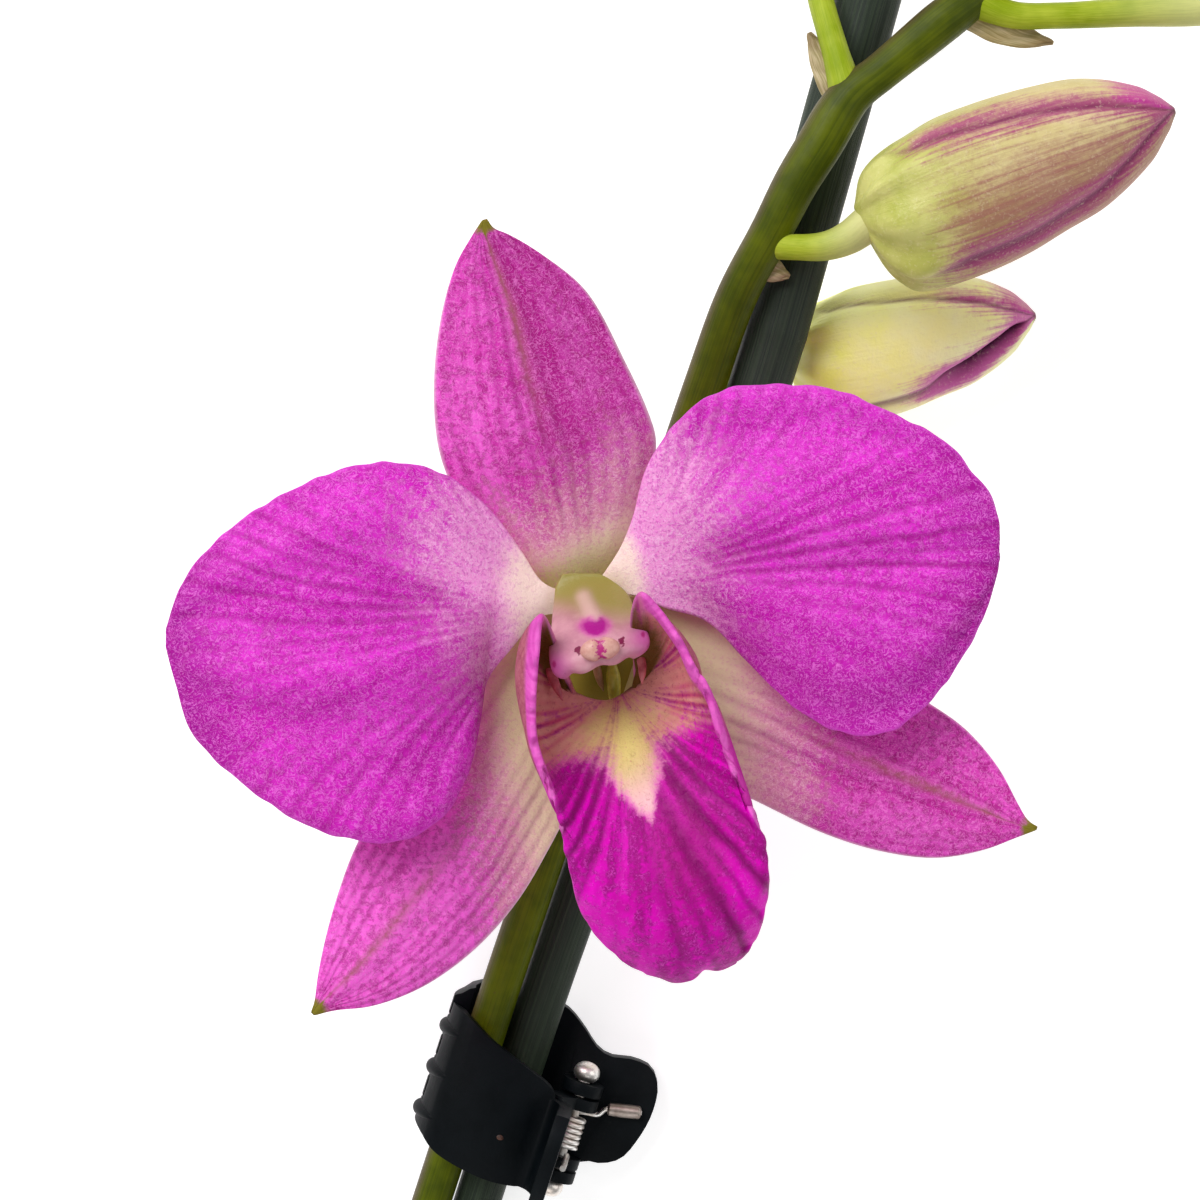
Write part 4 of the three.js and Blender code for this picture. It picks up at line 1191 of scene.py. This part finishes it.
stalks = {
    "budStalk1": [
        (13.9, 29.6, -15.2), (16.2, 29.4, -13.5), (18.8, 29.5, -12.7), (20.7, 30.2, -12.3), (22.5, 31.5, -12),
    ],
    "budStalk2": [
        (8.3, 16.7, -20.8), (9.6, 17.3, -23.4), (11.7, 18.5, -25.6), (13.8, 19.5, -26.9), (16.7, 20.7, -27.6),
    ],
    "budStalk3": [
        (20.5, 42.5, -12.4), (19.7, 45.4, -12.6), (18.5, 49.6, -14), (17.7, 53.8, -18.6), (16.9, 57.1, -23.4),
        (16.2, 60.4, -26.1),
    ],
    "budStalk4": [
        (31.2, 50, -12.2), (34.2, 48.8, -12.2), (38.3, 48.7, -12.3), (44.2, 49, -12.6), (50, 49.3, -12.9),
        (54.2, 50, -13),
    ],
}
flowerStalk = [(4.7, 6, -20.5), (3.8, 4.2, -19.2), (2.1, 0.8, -16.6), (0.5, -2.2, -14.2), (-0.2, -3.8, -12)]
bracts = {
    "bract1": [(12.7, 28.8, -15), (14, 27.7, -15.6), (15.8, 26.9, -15.4)],
    "bract2": [(20.2, 42.3, -13), (18.7, 44.8, -13.2), (17.4, 47.3, -13.4)],
    "bract3": [(30.7, 49.3, -12.6), (34.2, 47.3, -13.2), (37.8, 46.4, -13.4)],
}
# a line and a radius for each
tightBuds = {
    "tightBud1": ([(39.7, 54.2, -11.6), (42.7, 56.2, -11.4), (45.8, 58, -11.2)], 2.3),
    "tightBud2": ([(37.7, 53.5, -12), (38.8, 55.8, -12.4), (39.5, 58.7, -12.8)], 1.7),
}
stemBuild = {
    "rachisRadius": 1.85, "stalkRadius": 1.15, "ovaryRibs": 6, "ovaryRibDepth": 0.07, "tightBudLobes": 3,
    "tightBudLobeDepth": 0.04,
}
stalkSwell = profile([(0, 1.35), (0.12, 1.05), (0.3, 1), (0.6, 1.15), (0.85, 1.35), (1, 1.45)])
tightBudSwell = profile([(0, 0.4), (0.2, 0.85), (0.45, 1), (0.75, 0.7), (0.92, 0.3), (1, 0.08)])
bractWidth = profile([(0, 1.9), (0.4, 1.55), (0.8, 0.8), (1, 0.12)])
bractBuild = {"across": 16, "along": 24, "thickness": 0.3, "turn": 1.15, "rise": 0.55, "wave": 0.12}


def greenPaint(name, dark, light, brown, brownShare, paler=0):
    paint = Paint(name)
    around, t = paint.mark("around"), paint.mark("along")
    streak = paint.streaks(24, 9, 4, 0.6)
    cloud = paint.grain(190, 3, 0.6)
    pores = paint.grain(2300, 3, 0.6)
    edge = (0 - around).above(0.26, 0.5) + pores.above(0.66, 0.76) * 0.5
    colour = paint.over(
        paint.mix((cloud * 0.6 + streak * 0.4).above(0.35, 0.65), dark, light),
        (streak.above(0.55, 0.8) * 0.3, dark),
        (t.above(0.35, 1) * paler, rgb(222, 218, 156)),
        (edge * brownShare, brown),
    )
    relief = streak * 0.7 + pores * 0.35
    return paint.done(colour, 0.42 + (pores - 0.5) * 0.3, paint.bump(relief, 0.07), Specular_IOR_Level=0.16)


rachisSkin = greenPaint("rachisSkin", rgb(56, 68, 0), rgb(90, 100, 0), rgb(86, 62, 48), 0.6)
stalkSkin = greenPaint("stalkSkin", rgb(134, 156, 10), rgb(178, 190, 58), rgb(120, 112, 60), 0.15, 0.8)


def bractSkin():
    paint = Paint("bractSkin")
    along = paint.mark("fanAlong")
    fibre = paint.noise(paint.vector(paint.mark("fanAcross") * 9, along * 2, 1.0), 1, 4, 0.65)
    colour = paint.over(
        paint.mix(fibre.above(0.35, 0.65), rgb(196, 178, 140), rgb(150, 134, 84)),
        (along.above(0.6, 1) * 0.7, rgb(122, 96, 62)),
    )
    return paint.done(colour, 0.6, paint.bump(fibre, 0.06))


def bractPiece(name, paint):
    line, build = at(bracts[name]), bractBuild

    def surface(s, t):
        spots = evenly(line, t)
        way = evenly(line, t + 0.01) - evenly(line, t - 0.01)
        way /= np.linalg.norm(way, axis=1)[:, None]
        side = np.cross(way, (0, 0, 1.0))
        side /= np.linalg.norm(side, axis=1)[:, None]
        curl, turn = bractWidth(t) * mm, s * build["turn"]
        spots = spots + side * (np.sin(turn) * curl)[:, None]
        spots[:, 2] += (np.cos(turn) - 0.7) * curl * build["rise"]
        spots[:, 2] += build["wave"] * mm * np.sin(17 * t + 5 * s)
        return spots

    def marks(s, t):
        return {"fanAcross": s, "fanAlong": t}

    piece = blade(name, build["across"], build["along"], surface, marks, build["thickness"], rim=0.5)
    return finished(piece, paint, "stem")


def stemTube(name, places, section, skin, around, along):
    finished(tube(name, at(places), section, around=around, along=along), skin, "stem")


def tightBudSection(radius):
    def section(t, angle):
        lobes = np.cos(stemBuild["tightBudLobes"] * angle + 4 * t)
        size = radius * tightBudSwell(t) * (1 + stemBuild["tightBudLobeDepth"] * lobes)
        return np.sin(angle) * size, np.cos(angle) * size

    return section


def stemPieces():
    def rachis(t):
        return stemBuild["rachisRadius"] * rachisWidth(t)

    def stalk(t):
        return stemBuild["stalkRadius"] * stalkSwell(t)

    def ovary(t, angle):
        ribs = np.cos(stemBuild["ovaryRibs"] * angle) * smooth(t, 0.35, 0.7)
        radius = ovaryWidth(t) * (1 + stemBuild["ovaryRibDepth"] * ribs)
        return np.sin(angle) * radius, np.cos(angle) * radius

    stemTube("rachis", rachisLine, roundSection(rachis), rachisSkin, 32, 260)
    stemTube("ovary", flowerStalk, ovary, stalkSkin, 48, 40)
    for name, line in stalks.items():
        stemTube(name, line, roundSection(stalk), stalkSkin, 24, 60)
    paper = bractSkin()
    for name in bracts:
        bractPiece(name, paper)
    for name, (line, radius) in tightBuds.items():
        stemTube(name, line, tightBudSection(radius), stalkSkin, 32, 32)


stemPieces()
print("stem")


stakeLine = [
    (25.7, 62.5, -16.2), (22.3, 50, -17), (17.9, 34.2, -18.4), (13.4, 18.2, -20.4), (7.5, 1.5, -22.5),
    (1.8, -14.4, -24.6), (-3.8, -30.2, -26.3), (-7.3, -40.8, -27.3), (-10.2, -50, -27.6), (-15.2, -65, -27.8),
]
stakeBuild = {
    "topRadius": 2.9, "footRadius": 2.15, "knots": (0.3, 0.62, 0.9), "knotHeight": 0.02, "knotLength": 0.006,
    "around": 64, "along": 200,
}
stakeFacets = {5: 0.02, 17: 0.006}  # how many go round the cane, and their height in shares of its radius


def stakePiece():
    def section(t, angle):
        radius = between(stakeBuild["topRadius"], stakeBuild["footRadius"], smooth(t, 0.15, 0.85))
        radius = radius * (1 + sum(depth * np.cos(count * angle) for count, depth in stakeFacets.items()))
        for knot in stakeBuild["knots"]:
            radius = radius * (1 + stakeBuild["knotHeight"] * hump(t - knot, stakeBuild["knotLength"]))
        return np.sin(angle) * radius, np.cos(angle) * radius

    around, along = stakeBuild["around"], stakeBuild["along"]
    piece = tube("stakeCane", at(stakeLine), section, around=around, along=along)
    paint = Paint("caneSkin")
    fibre = paint.streaks(46, 4, 4, 0.65)
    cloud = paint.grain(150, 3, 0.6)
    pores = paint.grain(1900, 3, 0.6)
    colour = paint.over(
        paint.mix(fibre.above(0.35, 0.65), rgb(24, 34, 26), rgb(48, 60, 44)),
        (cloud.above(0.45, 0.75) * 0.5, rgb(36, 48, 30)),
        (pores.above(0.68, 0.78) * 0.3, rgb(92, 100, 90)),
    )
    relief = fibre + pores * 0.3
    skin = paint.done(colour, 0.5 + (fibre - 0.5) * 0.3, paint.bump(relief, 0.08), Specular_IOR_Level=0.25)
    return finished(piece, skin, "stake")


stakePiece()
print("stake")


clip = {
    "middle": (-9.5, -42.1, -27.35), "lean": -0.314, "hinge": (8, 0.8),
    "bevel": 0.42, "pinRadius": 0.55, "headRadius": 1.25, "pinEnds": (-5.1, 6),
    "coilRadius": 1.15, "wireRadius": 0.23, "coilTurns": 6, "coilPitch": 0.52, "coilMiddle": 0.35,
    "coilSteps": 20, "sleeveRadius": 0.6, "legRadius": 0.28, "ribs": (-1.8, 2.2, 6.2), "ribRadius": 0.74,
    "dot": (2, -1.3, 5.6), "dotSize": (0.4, 0.3, 0.25), "way": (0.31, 0.95, 0), "coilWay": (0.32, 0.95, 0.03),
}
backLeg = [(9.1, 2.12, -0.55), (10.3, 2.3, -0.65), (10.9, 3.1, -0.4), (12.4, 3.4, -0.35), (14.1, 3.8, -0.15)]
frontLeg = [(8.5, -1.6, 3), (8.4, -1.6, 5), (8.3, -1.6, 7.2), (8.2, -1.6, 8.8)]
ribLine = [(-5.1, -0.9), (-5.75, 0.5), (-5.55, 2.2), (-4.6, 3.95), (-3.2, 4.75)]
sleeveSwell = profile([(0, 0.1), (0.03, 0.75), (0.08, 1), (0.92, 1), (0.97, 0.75), (1, 0.1)])
ribSwell = profile([(0, 0.5), (0.08, 0.85), (0.25, 1), (0.55, 0.8), (0.8, 0.5), (1, 0.15)])


def onClip(places):
    # the clip's own frame: X across the stem, Y up it, Z towards the eye
    return rolled(np.asarray(places, float), clip["lean"]) * mm + at(clip["middle"])


def refined(name, node, paint, body):
    # the node's own form, its edges rounded
    piece = bpy.data.objects.new(name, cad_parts[node].data.copy())
    piece.data.name = name
    bpy.context.scene.collection.objects.link(piece)
    edit(
        piece,
        lambda: bpy.ops.mesh.customdata_custom_splitnormals_clear(),
        lambda: bpy.ops.mesh.remove_doubles(threshold=weld),
        lambda: bpy.ops.mesh.dissolve_limited(angle_limit=flatAngle),
        faceOut,
    )
    apply(
        piece, "BEVEL", width=clip["bevel"] * mm, segments=3, limit_method="ANGLE",
        angle_limit=edgeAngle, use_clamp_overlap=True,
    )
    only(piece)
    bpy.ops.object.shade_smooth_by_angle(angle=softAngle)
    return finished(piece, paint, node, body)


def plasticPaint():
    paint = Paint("clipPlastic")
    grain = paint.grain(2400, 3, 0.6)
    cloud = paint.grain(260, 3, 0.6)
    colour = paint.over(
        paint.mix(cloud.above(0.3, 0.7), rgb(1, 5, 8), rgb(5, 11, 15)),
        (grain.above(0.66, 0.8) * 0.2, rgb(22, 28, 33)),
    )
    rough = 0.5 + (cloud - 0.5) * 0.2 + (grain - 0.5) * 0.12
    return paint.done(colour, rough, paint.bump(grain, 0.02), Specular_IOR_Level=0.12)


def steelPaint(name, light, dark, roughness):
    paint = Paint(name)
    brush = paint.grain(3000, 3, 0.6)
    colour = paint.mix(paint.grain(700, 3, 0.6).above(0.35, 0.7), light, dark)
    return paint.done(colour, roughness + (brush - 0.5) * 0.2, paint.bump(brush, 0.01), Metallic=1.0)


plastic = plasticPaint()
steel = steelPaint("springSteel", rgb(250, 248, 244), rgb(224, 212, 202), 0.42)
dullSteel = steelPaint("dullSteel", rgb(176, 164, 156), rgb(140, 126, 118), 0.45)
refined("clipBackJaw", "clip_back_jaw", plastic, "spray")
refined("clipFrontJaw", "clip_front_jaw", plastic, "front_jaw")


def clipTube(name, places, radius, paint, node, body="spray", slot="spring", **settings):
    finished(tube(name, onClip(places), roundSection(radius), **settings), paint, node, body)


def clipMetal():
    x, z = clip["hinge"]
    low, high = clip["pinEnds"]
    head = clip["headRadius"]
    rise = 0.8 * head  # from a head's middle to its end
    share = 2 * rise / (high - low + 2 * rise)

    def pin(t):
        ends = np.minimum(t, 1 - t) / share
        bulb = head * np.sqrt(np.clip(1 - (2 * np.minimum(ends, 1) - 1) ** 2, 0.0004, 1))
        shaft = np.where(ends > 0.5, clip["pinRadius"], 0)
        return np.where(ends < 0.9, np.maximum(bulb, shaft), clip["pinRadius"])

    line = [(x, low - rise, z), (x, (low + high) / 2, z), (x, high + rise, z)]
    clipTube("clipPin", line, pin, steel, "clip_pin", around=32, along=160)

    coil = []
    for count in range(clip["coilTurns"] * clip["coilSteps"] + 1):
        turns = count / clip["coilSteps"]
        angle = 2 * math.pi * turns
        y = clip["coilMiddle"] + (turns - clip["coilTurns"] / 2) * clip["coilPitch"]
        coil.append((x + clip["coilRadius"] * math.sin(angle), y, z - clip["coilRadius"] * math.cos(angle)))
    clipTube(
        "clipCoil", coil + backLeg, lambda t: np.full_like(t, clip["wireRadius"]), steel, "clip_spring",
        around=14, along=560, up=clip["coilWay"],
    )
    clipTube(
        "clipSleeve", backLeg[2:], lambda t: clip["sleeveRadius"] * sleeveSwell(t), dullSteel, "clip_spring",
        along=60, ease=True,
    )
    clipTube(
        "clipSpringLeg", frontLeg, lambda t: np.full_like(t, clip["legRadius"]), steel, "clip_spring_leg",
        "front_jaw", around=14, along=30, up=clip["way"],
    )


def clipDot():
    # the small brown mark that the mould left on the front jaw
    piece = ball("clipDot", 24, 16)
    moveCorners(piece, onClip(corners(piece) * clip["dotSize"] + clip["dot"]))
    paint = Paint("dotBrown")
    colour = paint.mix(paint.grain(3000, 2).above(0.4, 0.6), rgb(92, 52, 36), rgb(58, 38, 30))
    return finished(piece, paint.done(colour, 0.6), "clip_front_jaw", "front_jaw")


def clipRibs():
    # the blunt ends of the front teeth, which stand out from the jaw's shoulder
    for index, y in enumerate(clip["ribs"]):
        clipTube(
            "clipRib%d" % (index + 1), [(x, y, z) for x, z in ribLine],
            lambda t: clip["ribRadius"] * ribSwell(t), plastic, "clip_front_jaw", "front_jaw", "clip",
            around=28, along=48, up=clip["way"], ease=True,
        )


clipMetal()
clipDot()
clipRibs()
print("clip")
